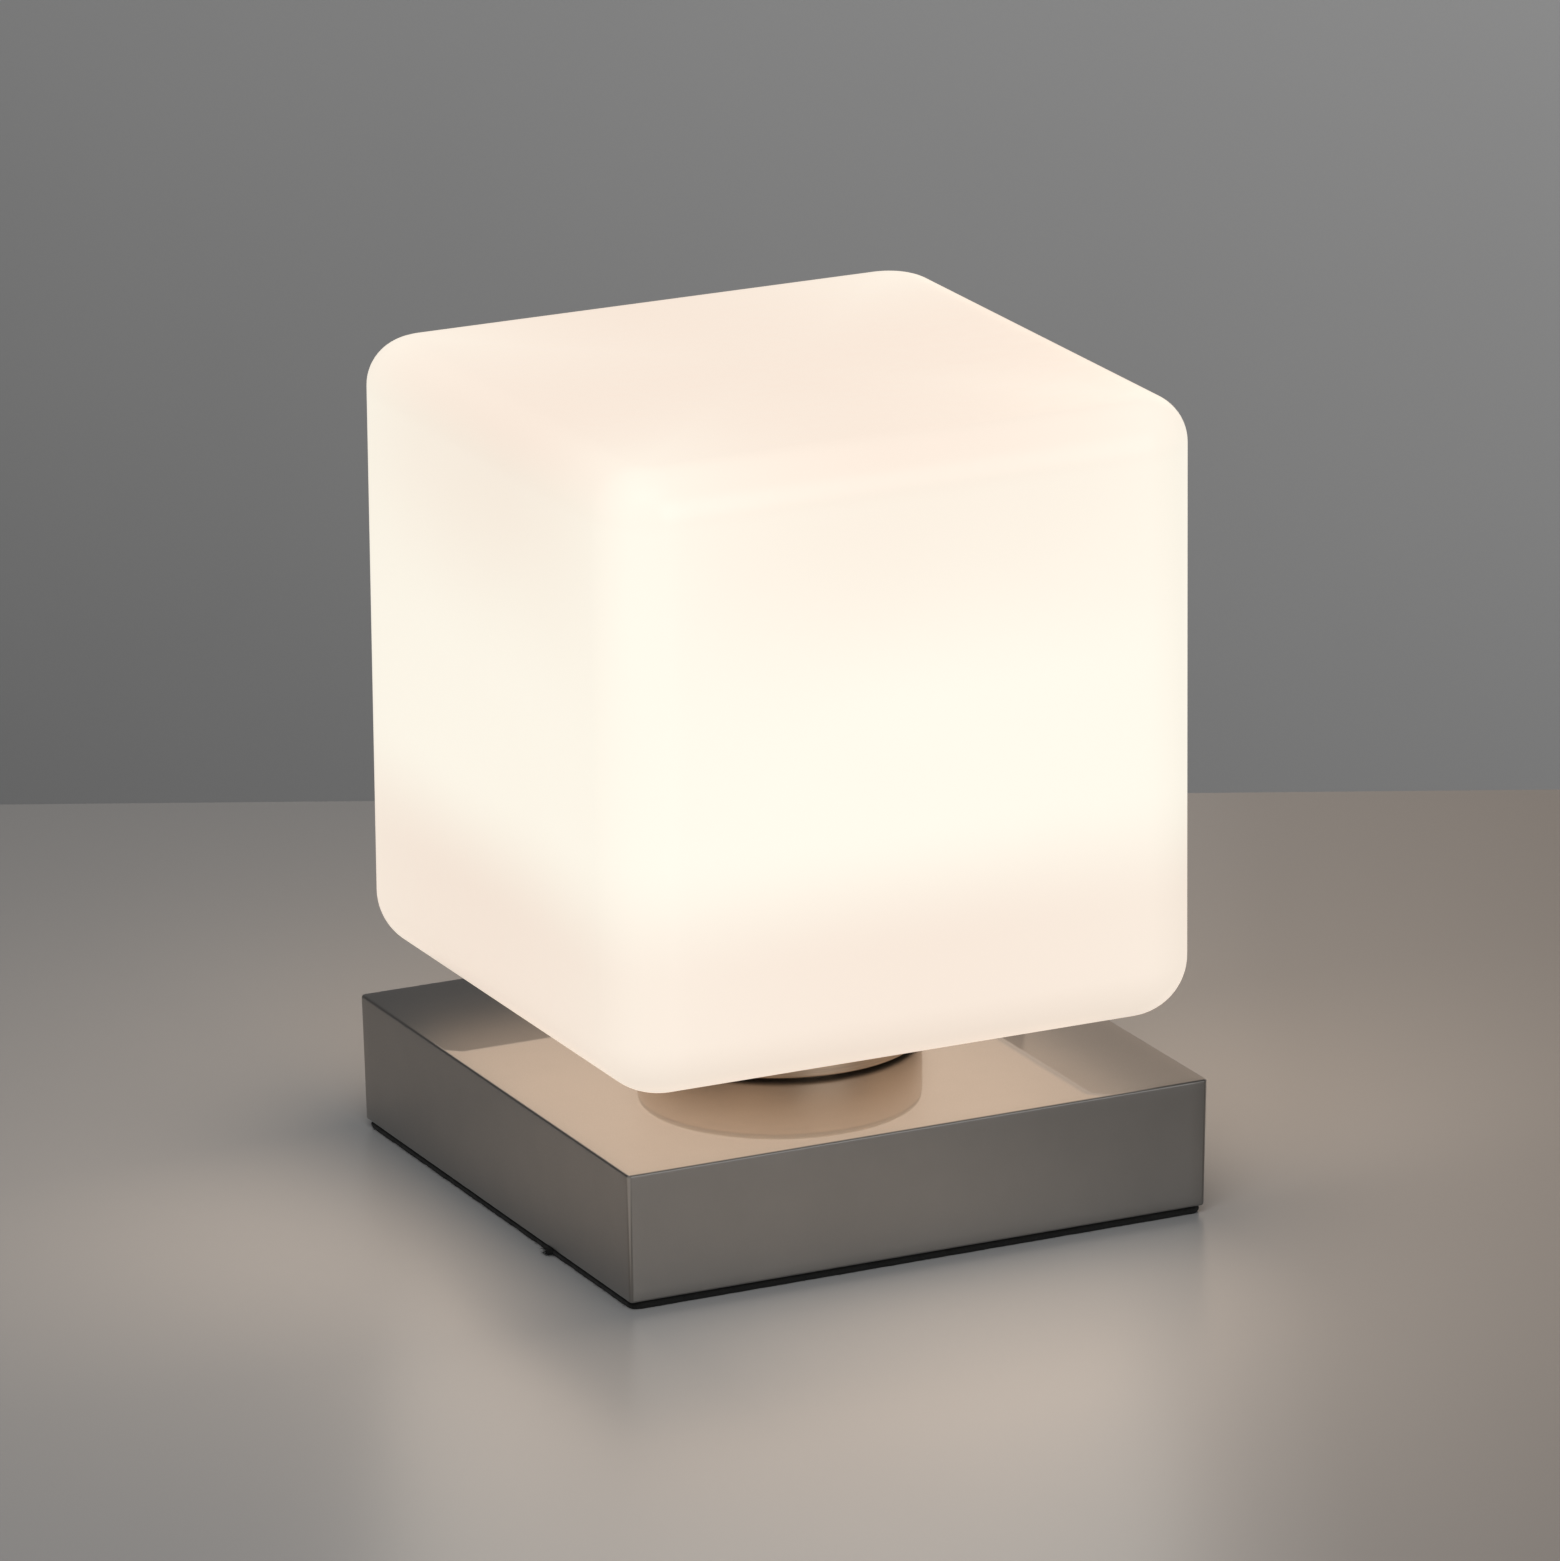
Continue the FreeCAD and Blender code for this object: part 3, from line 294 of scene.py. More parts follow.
def box_rows(half_at, corner, low, high, top_radius, foot_radius, counts):
    """Profile rows of a rounded box: from its top's middle round the edge, down and round the foot.

    The half width at a height is half_at(z). On a roll of radius r it is less by r (1 - cos a), and
    the corner radius shrinks with it; on the flat top both shrink to nought. The counts are the
    points on the top, the edge's roll, the side and the foot's roll.
    """
    top_count, roll_count, side_count, foot_count = counts
    rows = []
    for reach in np.linspace(0, 1, top_count) * (half_at(high) - top_radius):
        rows.append((reach, min(reach, corner - top_radius), high))
    for side, rise in arc_of(top_radius, 90, 0, roll_count)[1:]:
        z = high - top_radius + rise
        rows.append((half_at(z) - top_radius + side, corner - top_radius + side, z))
    for share in np.linspace(0, 1, side_count)[1:]:
        z = high - top_radius - share * (high - low - top_radius - foot_radius)
        rows.append((half_at(z), corner, z))
    for side, drop in arc_of(foot_radius, 0, 90, foot_count)[1:]:
        z = low + foot_radius - drop
        rows.append((half_at(z) - foot_radius + side, corner - foot_radius + side, z))
    return rows


def lathe(name, profile, count=192):
    """A closed (radius, z) profile turned about the upright axis: (r cos a, r sin a, z)."""
    angle = np.linspace(0, 2 * math.pi, count, endpoint=False)
    radius, z = profile.T[:, :, None]
    points = np.stack([radius * np.cos(angle), radius * np.sin(angle), z + 0 * angle], -1)
    closed = max(profile[0, 0], profile[-1, 0]) > NEARNESS
    return mesh_from_arrays(name, points, grid_faces(len(profile), count, closed_rows=closed))


def rounded_profile(corners, steps=9):
    """A closed (radius, z) outline whose corners, given as (radius, z, rounding), become arcs.

    Each arc runs from one side to the next at the distance rounding / tan(half the corner's angle).
    """
    corners = np.asarray(corners, float)
    places, rounding = corners[:, :2], corners[:, 2]
    before = np.roll(places, 1, axis=0) - places
    after = np.roll(places, -1, axis=0) - places
    before /= np.linalg.norm(before, axis=1)[:, None]
    after /= np.linalg.norm(after, axis=1)[:, None]
    half = np.arccos(np.clip((before * after).sum(1), -1, 1)) / 2
    out = []
    for place, back, ahead, radius, angle in zip(places, before, after, rounding, half):
        if radius <= 0:
            out.append(place[None])
            continue
        centre = place + (back + ahead) / np.linalg.norm(back + ahead) * radius / math.sin(angle)
        start = place + back * radius / math.tan(angle) - centre
        end = place + ahead * radius / math.tan(angle) - centre
        share = np.linspace(0, 1, steps)[:, None]
        swing = math.pi - 2 * angle
        sweep = (np.sin((1 - share) * swing) * start + np.sin(share * swing) * end) / math.sin(swing)
        out.append(centre + sweep)
    return np.concatenate(out)


def close_skin(piece, sharp_degrees=None):
    """Turns a closed piece's faces so that its signed volume is positive. If an angle is given,
    edges that bend by more are marked as sharp, so that flats stay flat."""
    mesh = piece.data
    mesh.calc_loop_triangles()
    corners = np.empty(len(mesh.loop_triangles) * 3, int)
    mesh.loop_triangles.foreach_get("vertices", corners)
    points = np.empty(len(mesh.vertices) * 3)
    mesh.vertices.foreach_get("co", points)
    a, b, c = points.reshape(-1, 3)[corners].reshape(-1, 3, 3).transpose(1, 0, 2)
    if np.einsum("ij,ij->i", a, np.cross(b, c)).sum() < 0:
        mesh.flip_normals()
    if sharp_degrees:
        mesh.set_sharp_from_angle(angle=math.radians(sharp_degrees))
    return piece


# Materials: node trees on Object coordinates

class Finish:
    """A material under construction, with short calls that add and join its nodes."""

    def __init__(self, name):
        self.material = bpy.data.materials.new(name)
        self.material.use_nodes = True
        self.tree = self.material.node_tree
        self.shader = self.tree.nodes["Principled BSDF"]
        self.place = self.node("ShaderNodeTexCoord").outputs["Object"]

    def node(self, kind, **options):
        """Adds a node and sets its options."""
        made = self.tree.nodes.new(kind)
        for key, value in options.items():
            setattr(made, key, value)
        return made

    def feed(self, node, socket, value):
        """Joins another node's output to a socket, or sets the socket's own value."""
        target = node.inputs[socket]
        if isinstance(value, bpy.types.NodeSocket):
            self.tree.links.new(value, target)
        elif isinstance(value, (tuple, list)) and len(value) == 3 and target.type == "RGBA":
            target.default_value = (*value, 1.0)
        else:
            target.default_value = value

    def join(self, node, **values):
        """Feeds a node's sockets by their names, with spaces written as underscores."""
        for name, value in values.items():
            self.feed(node, name.replace("_", " "), value)
        return node

    def set(self, **values):
        """Feeds sockets of the Principled shader."""
        self.join(self.shader, **values)
        return self

    def math(self, operation, *values, clamp=False):
        """The outcome of a maths node."""
        made = self.node("ShaderNodeMath", operation=operation, use_clamp=clamp)
        for index, value in enumerate(values):
            self.feed(made, index, value)
        return made.outputs[0]

    def stretched(self, scale):
        """Object coordinates scaled along each axis."""
        return self.join(self.node("ShaderNodeMapping"), Vector=self.place, Scale=scale).outputs[0]

    def noise(self, scale, detail=2.0, roughness=0.5, vector=None):
        """A soft noise about one half, with scale cells to the metre."""
        made = self.join(
            self.node("ShaderNodeTexNoise"), Vector=vector or self.place, Scale=scale,
            Detail=detail, Roughness=roughness)
        return made.outputs["Fac"]

    def spread(self, value, low, high, to_low=0.0, to_high=1.0, smooth=False):
        """Maps a span of one value onto another span."""
        made = self.node("ShaderNodeMapRange", interpolation_type="SMOOTHSTEP" if smooth else "LINEAR")
        for index, item in enumerate((value, low, high, to_low, to_high)):
            self.feed(made, index, item)
        return made.outputs[0]

    def blend(self, share, first, second):
        """Mixes two colours by a share."""
        made = self.node("ShaderNodeMix", data_type="RGBA")
        self.feed(made, 0, share)
        self.feed(made, 6, first)
        self.feed(made, 7, second)
        return made.outputs[2]

    def split(self):
        """The x, y and z of the Object coordinates."""
        made = self.node("ShaderNodeSeparateXYZ")
        self.feed(made, 0, self.place)
        return made.outputs

    def nearest_edge(self):
        """The lesser of |x| and |y|: nought on the middle lines, greatest at the upright edges."""
        x, y, _ = self.split()
        return self.math("MINIMUM", self.math("ABSOLUTE", x), self.math("ABSOLUTE", y))

    def two_tone(self, tint, first, second, low=0.3, high=0.7):
        """The base colour, from the first colour to the second over a span of a noise."""
        return self.set(Base_Color=self.blend(self.spread(tint, low, high), first, second))

    def rough(self, grain, least, most, low=0.3, high=0.7):
        """The roughness, from its least to its most over a span of a noise."""
        return self.set(Roughness=self.spread(grain, low, high, least, most))

    def bump(self, height, strength, distance):
        """A fine relief that only bends the light."""
        made = self.join(
            self.node("ShaderNodeBump"), Height=height, Strength=strength, Distance=distance)
        return self.set(Normal=made.outputs[0])


def shaded(colour, factor):
    """A colour made darker or lighter by a factor."""
    return tuple(c * factor for c in colour)


def satin_nickel():
    """Satin-brushed nickel plate under a clear gloss lacquer: a soft metal with a sharp coat over it.

    Where the lesser of |x| and |y| nears the cover's half width, which is at the upright edges
    only, the colour is lifted 2.5 times: a painted highlight in place of the edges' reflections.
    """
    base = settings("base")
    finish = Finish("satin_nickel")
    tone, half = tuple(base.nickel_colour), COVER_HIGH[0]
    highlight_start, highlight_full = half - 0.75 * MM, half - 0.4 * MM
    cloud, grain = finish.noise(38.0, 3.0, 0.55), finish.noise(5200.0, 2.0, 0.6)
    plate = finish.blend(finish.spread(cloud, 0.35, 0.65), shaded(tone, 0.93), tone)
    # painted highlight: the upright edges get a lighter nickel colour in place of a reflected
    # highlight
    edge_highlight = finish.spread(finish.nearest_edge(), highlight_start, highlight_full, smooth=True)
    finish.rough(grain, 0.34, 0.42).set(
        Base_Color=finish.blend(edge_highlight, plate, shaded(tone, 2.5)), Metallic=1.0,
        Coat_Weight=1.0, Coat_Roughness=base.lacquer_roughness, Coat_IOR=1.52)
    return finish.bump(grain, 0.06, 0.02 * MM).material


def turned_nickel():
    """The cup's own finish: satin nickel without the lacquer, with fine rings from the lathe."""
    finish = Finish("turned_nickel")
    rings = finish.noise(3200.0, 2.0, 0.5, finish.stretched((0.05, 0.05, 1.0)))
    finish.two_tone(rings, (0.55, 0.44, 0.345), (0.70, 0.565, 0.44)).rough(rings, 0.34, 0.44)
    return finish.set(Metallic=1.0).bump(rings, 0.1, 0.02 * MM).material


def opal_glass():
    """Lit opal glass: satin surface, and light that is fullest level with the source.

    With s the lesser of |x| and |y| over the half width, which is 0 along a face's middle line
    and 1 at an upright edge, and h the height over the glass's own, the light fades above as
    half of smoothstep(0.56 to 0.90) times (1 - s squared) plus half of smoothstep(0.90 to 0.985)
    times (1 - 0.4 s squared), and below as smoothstep(0.40 to 0.19) times (1 - 0.3 s squared).
    """
    glass = settings("glass")
    finish = Finish("opal_glass")
    low, high = GLASS_LOW[2], GLASS_HIGH[2]
    underside_start, underside_end = low + 0.6 * MM, low + 0.15 * MM
    z = finish.split()[2]
    across = finish.math("DIVIDE", finish.nearest_edge(), GLASS_HIGH[0])
    square = finish.math("MULTIPLY", across, across)
    height = finish.spread(z, low, high)

    def fade(start, end, edge, strength):
        """A smooth step over the height that is weaker towards the upright edges."""
        step = finish.spread(height, start, end, 0.0, strength, smooth=True)
        weaker = finish.math("SUBTRACT", 1.0, finish.math("MULTIPLY", square, edge))
        return finish.math("MULTIPLY", step, weaker)

    swirl = finish.spread(finish.noise(17.0), 0.3, 0.7, -0.05, 0.05)
    above = finish.math("ADD", fade(0.56, 0.90, 1.0, 0.5), fade(0.90, 0.985, 0.4, 0.5))
    above = finish.math("ADD", above, swirl, clamp=True)
    below = fade(0.40, 0.19, 0.3, 1.0)
    foot = finish.spread(z, underside_end, underside_start, 1.0, 0.0, smooth=True)
    light = finish.blend(above, tuple(glass.glow_colour), tuple(glass.top_colour))
    light = finish.blend(below, light, tuple(glass.foot_colour))
    light = finish.blend(foot, light, tuple(glass.underside_colour))
    finish.rough(finish.noise(260.0, 3.0), 0.30, 0.36).set(
        Base_Color=(0.20, 0.19, 0.178), IOR=1.5,
        Emission_Color=light, Emission_Strength=glass.light_strength)
    return finish.bump(finish.noise(60.0, 2.0, 0.4), 0.05, 0.3 * MM).material


def black_felt():
    """Needled felt: near-black, with a woolly surface and paler flecks."""
    tone = tuple(settings("felt").felt_colour)
    finish = Finish("black_felt")
    wool, clump = finish.noise(2600.0, 6.0, 0.75), finish.noise(420.0, 3.0, 0.6)
    finish.two_tone(wool, tone, shaded(tone, 2.6), low=0.35)
    finish.set(Roughness=0.95, Specular_IOR_Level=0.08, Sheen_Weight=0.06, Sheen_Roughness=0.6)
    return finish.bump(finish.math("ADD", wool, clump), 0.8, 0.12 * MM).material


def milky_silicone():
    """Soft silicone: milky, satin, slightly lit through."""
    finish = Finish("milky_silicone")
    fog = finish.noise(150.0, 3.0)
    finish.two_tone(fog, (0.60, 0.56, 0.50), (0.68, 0.64, 0.58)).rough(fog, 0.38, 0.5).set(
        IOR=1.41, Subsurface_Weight=0.3, Subsurface_Radius=(0.004, 0.003, 0.002),
        Subsurface_Scale=1.0)
    return finish.bump(finish.noise(1500.0), 0.1, 0.05 * MM).material


def plated_steel():
    """Bright zinc plate: bluish grey, slightly clouded, with fine wear."""
    finish = Finish("plated_steel")
    cloud = finish.noise(120.0, 4.0, 0.6)
    scuff = finish.noise(900.0, 3.0, 0.7, finish.stretched((1.0, 0.15, 1.0)))
    finish.two_tone(cloud, (0.50, 0.51, 0.52), (0.63, 0.63, 0.61)).rough(scuff, 0.24, 0.42, high=0.75)
    return finish.set(Metallic=1.0).bump(scuff, 0.12, 0.03 * MM).material


def raw_steel():
    """Sawn and oiled steel: dark, with saw lines and stains."""
    finish = Finish("raw_steel")
    lines = finish.noise(700.0, 2.0, 0.5, finish.stretched((0.04, 1.0, 1.0)))
    stain = finish.noise(45.0, 5.0, 0.65)
    finish.two_tone(stain, (0.20, 0.19, 0.18), (0.31, 0.29, 0.27), low=0.35).rough(lines, 0.35, 0.55)
    return finish.set(Metallic=1.0).bump(lines, 0.35, 0.08 * MM).material


def spring_steel():
    """Rolled spring strip: bright, with rolling lines along it."""
    finish = Finish("spring_steel")
    lines = finish.noise(1600.0, 2.0, 0.5, finish.stretched((1.0, 1.0, 0.05)))
    heat = finish.noise(60.0)
    finish.two_tone(heat, (0.42, 0.42, 0.44), (0.52, 0.51, 0.49)).rough(lines, 0.20, 0.32)
    return finish.set(Metallic=1.0).bump(lines, 0.15, 0.02 * MM).material


def tinned_brass():
    """Tin over brass, rubbed through to the brass in places."""
    finish = Finish("tinned_brass")
    rub = finish.noise(240.0, 4.0, 0.6)
    finish.two_tone(rub, (0.66, 0.64, 0.60), (0.62, 0.48, 0.24), 0.55, 0.75)
    finish.rough(rub, 0.38, 0.28, 0.55, 0.75)
    return finish.set(Metallic=1.0).bump(finish.noise(1200.0, 3.0), 0.15, 0.03 * MM).material


def blasted_aluminium():
    """Bead-blasted aluminium: pale, even, with a fine grain."""
    finish = Finish("blasted_aluminium")
    bead, cloud = finish.noise(3800.0, 3.0, 0.65), finish.noise(70.0, 3.0)
    finish.two_tone(cloud, (0.66, 0.67, 0.68), (0.76, 0.76, 0.76)).rough(bead, 0.38, 0.52)
    return finish.set(Metallic=1.0).bump(bead, 0.4, 0.04 * MM).material


def lit_diffuser():
    """Opal plastic dome over the board, lit from below."""
    finish = Finish("lit_diffuser")
    rise = finish.spread(finish.split()[2], DOME_LOW[2], DOME_HIGH[2])
    skin = finish.noise(900.0, 3.0, 0.6)
    light = finish.blend(
        finish.spread(rise, 0.1, 0.75, smooth=True), (0.55, 0.42, 0.28), (0.97, 0.90, 0.76))
    finish.rough(skin, 0.45, 0.6).set(
        Base_Color=(0.32, 0.31, 0.29), Emission_Color=light, Emission_Strength=1.0)
    return finish.bump(skin, 0.12, 0.04 * MM).material


def led_phosphor():
    """Yellow phosphor gel of the light-emitting packages, switched on."""
    finish = Finish("led_phosphor")
    gel = finish.noise(2200.0, 3.0, 0.6)
    light = finish.blend(finish.spread(gel, 0.3, 0.7), (1.0, 0.86, 0.55), (1.0, 0.92, 0.70))
    finish.rough(gel, 0.2, 0.35).set(
        Base_Color=(0.80, 0.62, 0.16), Emission_Color=light, Emission_Strength=1.5)
    return finish.bump(gel, 0.1, 0.03 * MM).material


def moulded_plastic(name, colour, roughness):
    """Moulded plastic with a fine spark texture."""
    finish = Finish(name)
    spark, flow = finish.noise(1800.0, 3.0, 0.65), finish.noise(55.0)
    finish.two_tone(flow, shaded(colour, 0.9), colour)
    finish.rough(spark, roughness - 0.06, roughness + 0.08)
    return finish.bump(spark, 0.25, 0.04 * MM).material


def matt_rubber():
    """Black moulded rubber with a dusty bloom."""
    finish = Finish("matt_rubber")
    bloom = finish.noise(300.0, 5.0, 0.65)
    finish.two_tone(bloom, (0.018, 0.018, 0.018), (0.045, 0.044, 0.042), 0.4, 0.75)
    finish.rough(bloom, 0.55, 0.75)
    return finish.bump(finish.noise(2400.0, 3.0), 0.25, 0.04 * MM).material


# What makes the finish of each of the record's slots; a moulded plastic has a name, a colour and
# a roughness
MAKERS = {
    "satin_nickel": satin_nickel, "opal_glass": opal_glass, "black_felt": black_felt,
    "clear_silicone": milky_silicone, "plated_steel": plated_steel, "raw_steel": raw_steel,
    "spring_steel": spring_steel, "tinned_brass": tinned_brass, "led_phosphor": led_phosphor,
    "cast_aluminium": blasted_aluminium, "opal_plastic": lit_diffuser, "black_rubber": matt_rubber,
}
PLASTICS = {
    "white_board": ("white_mask", (0.78, 0.78, 0.75), 0.32),
    "green_board": ("green_mask", (0.03, 0.16, 0.07), 0.35),
    "white_plastic": ("white_plastic", (0.72, 0.72, 0.70), 0.48),
    "black_plastic": ("black_plastic", (0.03, 0.03, 0.03), 0.5),
    "wire_insulation": ("black_insulation", (0.025, 0.025, 0.025), 0.4),
    "wire_insulation_red": ("red_insulation", (0.42, 0.03, 0.02), 0.4),
    "wire_insulation_brown": ("brown_insulation", (0.14, 0.06, 0.03), 0.4),
    "wire_insulation_blue": ("blue_insulation", (0.03, 0.10, 0.34), 0.4),
}
FINISHES = {}


def finish_named(slot):
    """The material that stands for one of the record's material slots, made once."""
    if slot not in FINISHES:
        FINISHES[slot] = moulded_plastic(*PLASTICS[slot]) if slot in PLASTICS else MAKERS[slot]()
    return FINISHES[slot]


def dress(piece, slot, own=None):
    """Gives a piece the material of a slot, or its own finish of that slot, in place of any it has."""
    piece.data.materials.clear()
    piece.data.materials.append(own or finish_named(slot))


# Pieces

def base_shell():
    """The cast cover as one closed skin: a rounded square carried over the top, down the leaning
    walls, round the rim and back up inside to the ceiling.

    The half width at height z is half - draft (top - z) / (top - foot).
    """
    base = settings("base")
    top, foot = COVER_HIGH[2], COVER_LOW[2]
    corner, wall = base.corner_radius, base.wall
    inner_corner, ceiling = corner + wall / 2, top - base.top_thickness

    def half_at(z):
        return COVER_HIGH[0] - base.draft_inset * (top - z) / (top - foot)

    rows = box_rows(half_at, corner, foot, top, base.top_edge_radius, base.rim_radius, (24, 13, 14, 7))
    for z in np.linspace(foot, ceiling, 6):
        rows.append((half_at(z) - wall, inner_corner, z))
    for reach in np.linspace(1, 0, 10)[1:] * (half_at(ceiling) - wall):
        rows.append((reach, min(reach, inner_corner), ceiling))
    points = square_loft(rows, per_corner=13, per_side=40)
    shell = mesh_from_arrays("base_shell", points, grid_faces(*points.shape[:2]))
    close_skin(shell, 35)
    dress(shell, "satin_nickel")
    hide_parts("base_cover")
    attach(shell, "base")


def felt_foot():
    """The felt pad: a slab whose cut edge bulges a little and waves in and out.

    The waves are the sum of sin(k a + phase) / k^0.35 over a few counts k round the pad, scaled to
    the wave depth. They cut the edge in from its full width, by twice that depth at most.
    """
    felt = settings("felt")
    rng = np.random.default_rng(7)
    half = FELT_HIGH[0] + felt.overhang
    low, high = FELT_LOW[2], FELT_HIGH[2]
    flat_inset, flat_corner = 0.5 * MM, 1.6 * MM
    edge_inset, edge_corner, bulge = 0.35 * MM, 2.0 * MM, 0.28 * MM
    wave_depth, wave_band, wave_counts = 0.13 * MM, 2.0 * MM, (37, 61, 97, 151, 233)

    def flat_rows(z, start, end):
        return [(share * (half - flat_inset), min(share * half, flat_corner), z)
                for share in np.linspace(start, end, 8)]

    edge, thickness = half - edge_inset, high - low
    edge_rows = [
        (edge + bulge * math.sin(math.pi * share), edge_corner, high - share * thickness)
        for share in np.linspace(0, 1, 7)]
    rows = flat_rows(high, 0, 1) + edge_rows + flat_rows(low, 1, 0)
    points = square_loft(rows, per_corner=9, per_side=150)
    angle = np.linspace(0, 2 * math.pi, points.shape[1], endpoint=False)
    waves = sum(np.sin(k * angle + rng.uniform(0, 2 * math.pi)) / k ** 0.35 for k in wave_counts)
    waves *= wave_depth / np.abs(waves).max()
    level = points[:, :, :2]
    length = np.linalg.norm(level, axis=2, keepdims=True)
    near_edge = np.abs(level).max(axis=2, keepdims=True) > half - wave_band
    cut = 1 - (wave_depth + waves[None, :, None]) / np.maximum(length, MM)
    points[:, :, :2] = np.where(near_edge, level * cut, level)
    pad = mesh_from_arrays("felt_foot", points, grid_faces(*points.shape[:2]))
    close_skin(pad, 50)
    dress(pad, "black_felt")
    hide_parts("felt_pad")
    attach(pad, "base")


def felt_fibres():
    """Loose fibres on the felt's cut edge: thin three-sided tubes along bent paths.

    A fibre starts on the edge, points outwards and curls: place = root + out t + side a t squared
    + up b t squared, and its radius tapers as 1.05 - t. The last ones gather in one longer tuft.
    """
    felt = settings("felt")
    rng = np.random.default_rng(11)
    root_depth, flat_margin, corner_margin = 0.3 * MM, 0.1 * MM, 2.0 * MM
    radius, least_height, tuft_spread = 0.028 * MM, 0.06 * MM, 0.5 * MM
    loose_reach, tuft_reach, tuft_width = 0.8, 1.6, 2.8
    left_side, sides, steps = 2, 3, 5
    count = felt.fibre_count + felt.tuft_fibres
    half = FELT_HIGH[0] + felt.overhang - root_depth
    low, high = FELT_LOW[2] + flat_margin, FELT_HIGH[2] - flat_margin
    side = rng.integers(0, 4, count)
    along = rng.uniform(-1, 1, count) * (half - corner_margin)
    tuft = np.arange(count) >= felt.fibre_count
    side[tuft] = left_side
    along[tuft] = felt.tuft_place + rng.normal(0, tuft_spread, tuft.sum())
    turn = side * math.pi / 2
    out = np.stack([np.cos(turn), np.sin(turn), 0 * turn], -1)[:, None]
    tangent = np.stack([-np.sin(turn), np.cos(turn), 0 * turn], -1)[:, None]
    up = np.array([0, 0, 1.0])
    height = rng.uniform(low, high, count)
    root = out * half + tangent * along[:, None, None] + up * height[:, None, None]
    reach = felt.fibre_length * rng.uniform(0.25, 1.0, count) ** 1.5
    reach *= np.where(tuft, tuft_reach, loose_reach)
    lean = rng.uniform(-1.2, 1.2, count) * reach
    lift = rng.uniform(-0.5, 0.25, count) * reach
    reach, lean, lift = (values[:, None, None] for values in (reach, lean, lift))
    t = np.linspace(0, 1, steps)[None, :, None]
    path = root + out * (reach * t) + tangent * (lean * t ** 2) + up * (lift * t ** 2)
    path[:, :, 2] = np.clip(path[:, :, 2], least_height, high)
    thick = radius * (1.05 - t) * np.where(tuft, tuft_width, 1.0)[:, None, None]
    spin = np.linspace(0, 2 * math.pi, sides, endpoint=False)[:, None]
    around = np.cos(spin) * tangent[:, None] + np.sin(spin) * up
    tubes = path[:, :, None] + around * thick[..., None]
    faces = grid_faces(steps, sides)[None] + (np.arange(count) * steps * sides)[:, None, None]
    fibres = mesh_from_arrays("felt_fibres", tubes, faces.reshape(-1, 4))
    dress(fibres, "black_felt")
    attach(fibres, "base")


def holder():
    """The turned cup between base and glass: a closed profile on a smaller, low foot, turned about
    the axis. Each corner of the profile has its radius, its height and its rounding."""
    outer = CUP_HIGH[0]
    low, high = CUP_LOW[2], CUP_HIGH[2]
    wall, floor, bore = 1.5 * MM, 1.5 * MM, 5.2 * MM
    foot_inset, foot_rise = 3.3 * MM, 0.6 * MM
    profile = rounded_profile([
        (bore, low, 0), (outer - foot_inset, low, 0), (outer - foot_inset, low + foot_rise, 0.1 * MM),
        (outer, low + foot_rise, 0.35 * MM), (outer, high, 0.25 * MM), (outer - wall, high, 0.25 * MM),
        (outer - wall, low + floor, 0.4 * MM), (bore, low + floor, 0)])
    cup = close_skin(lathe("holder_cup_turned", profile, 256), 35)
    dress(cup, "satin_nickel", turned_nickel())
    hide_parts("holder_cup")
    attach(cup, "base")


def silicone_seat():
    """The loose ring under the glass: a turned flat lip with a short leg inside the cup."""
    inner, outer = 23.7 * MM, RING_HIGH[0] - 0.15 * MM
    low, rim, high = RING_LOW[2], CUP_HIGH[2], RING_HIGH[2]
    leg_outer = RING_HIGH[0] - 1.7 * MM
    leg_inner = leg_outer - 1.3 * MM
    soft = 0.25 * MM
    profile = rounded_profile([
        (inner, rim, soft), (leg_inner, rim, 0), (leg_inner, low, soft), (leg_outer, low, soft),
        (leg_outer, rim, 0), (outer, rim, soft), (outer, high, soft), (inner, high, soft)])
    ring = close_skin(lathe("seat_ring_soft", profile), 40)
    dress(ring, "clear_silicone")
    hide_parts("seat_ring")
    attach(ring, "seat")


def glass_skin(half, corner, low, high, top_radius, bottom_radius, mouth):
    """Rows of one skin of the glass, from the top's middle down the side and in to the round mouth.

    Each row is a rounded square; on the flat floor its points slide to the circle of the mouth
    along rays from the axis, so ring = (1 - t) square + t circle.
    """
    rows = box_rows(lambda z: half, corner, low, high, top_radius, bottom_radius, (26, 17, 34, 19))
    skin = square_loft(rows, per_corner=21, per_side=36)
    last = skin[-1]
    angle = np.arctan2(last[:, 1], last[:, 0])
    circle = np.stack([mouth * np.cos(angle), mouth * np.sin(angle), last[:, 2]], -1)
    share = np.linspace(0, 1, 14)[1:, None, None]
    return np.concatenate([skin, (1 - share) * last[None] + share * circle[None]]), angle


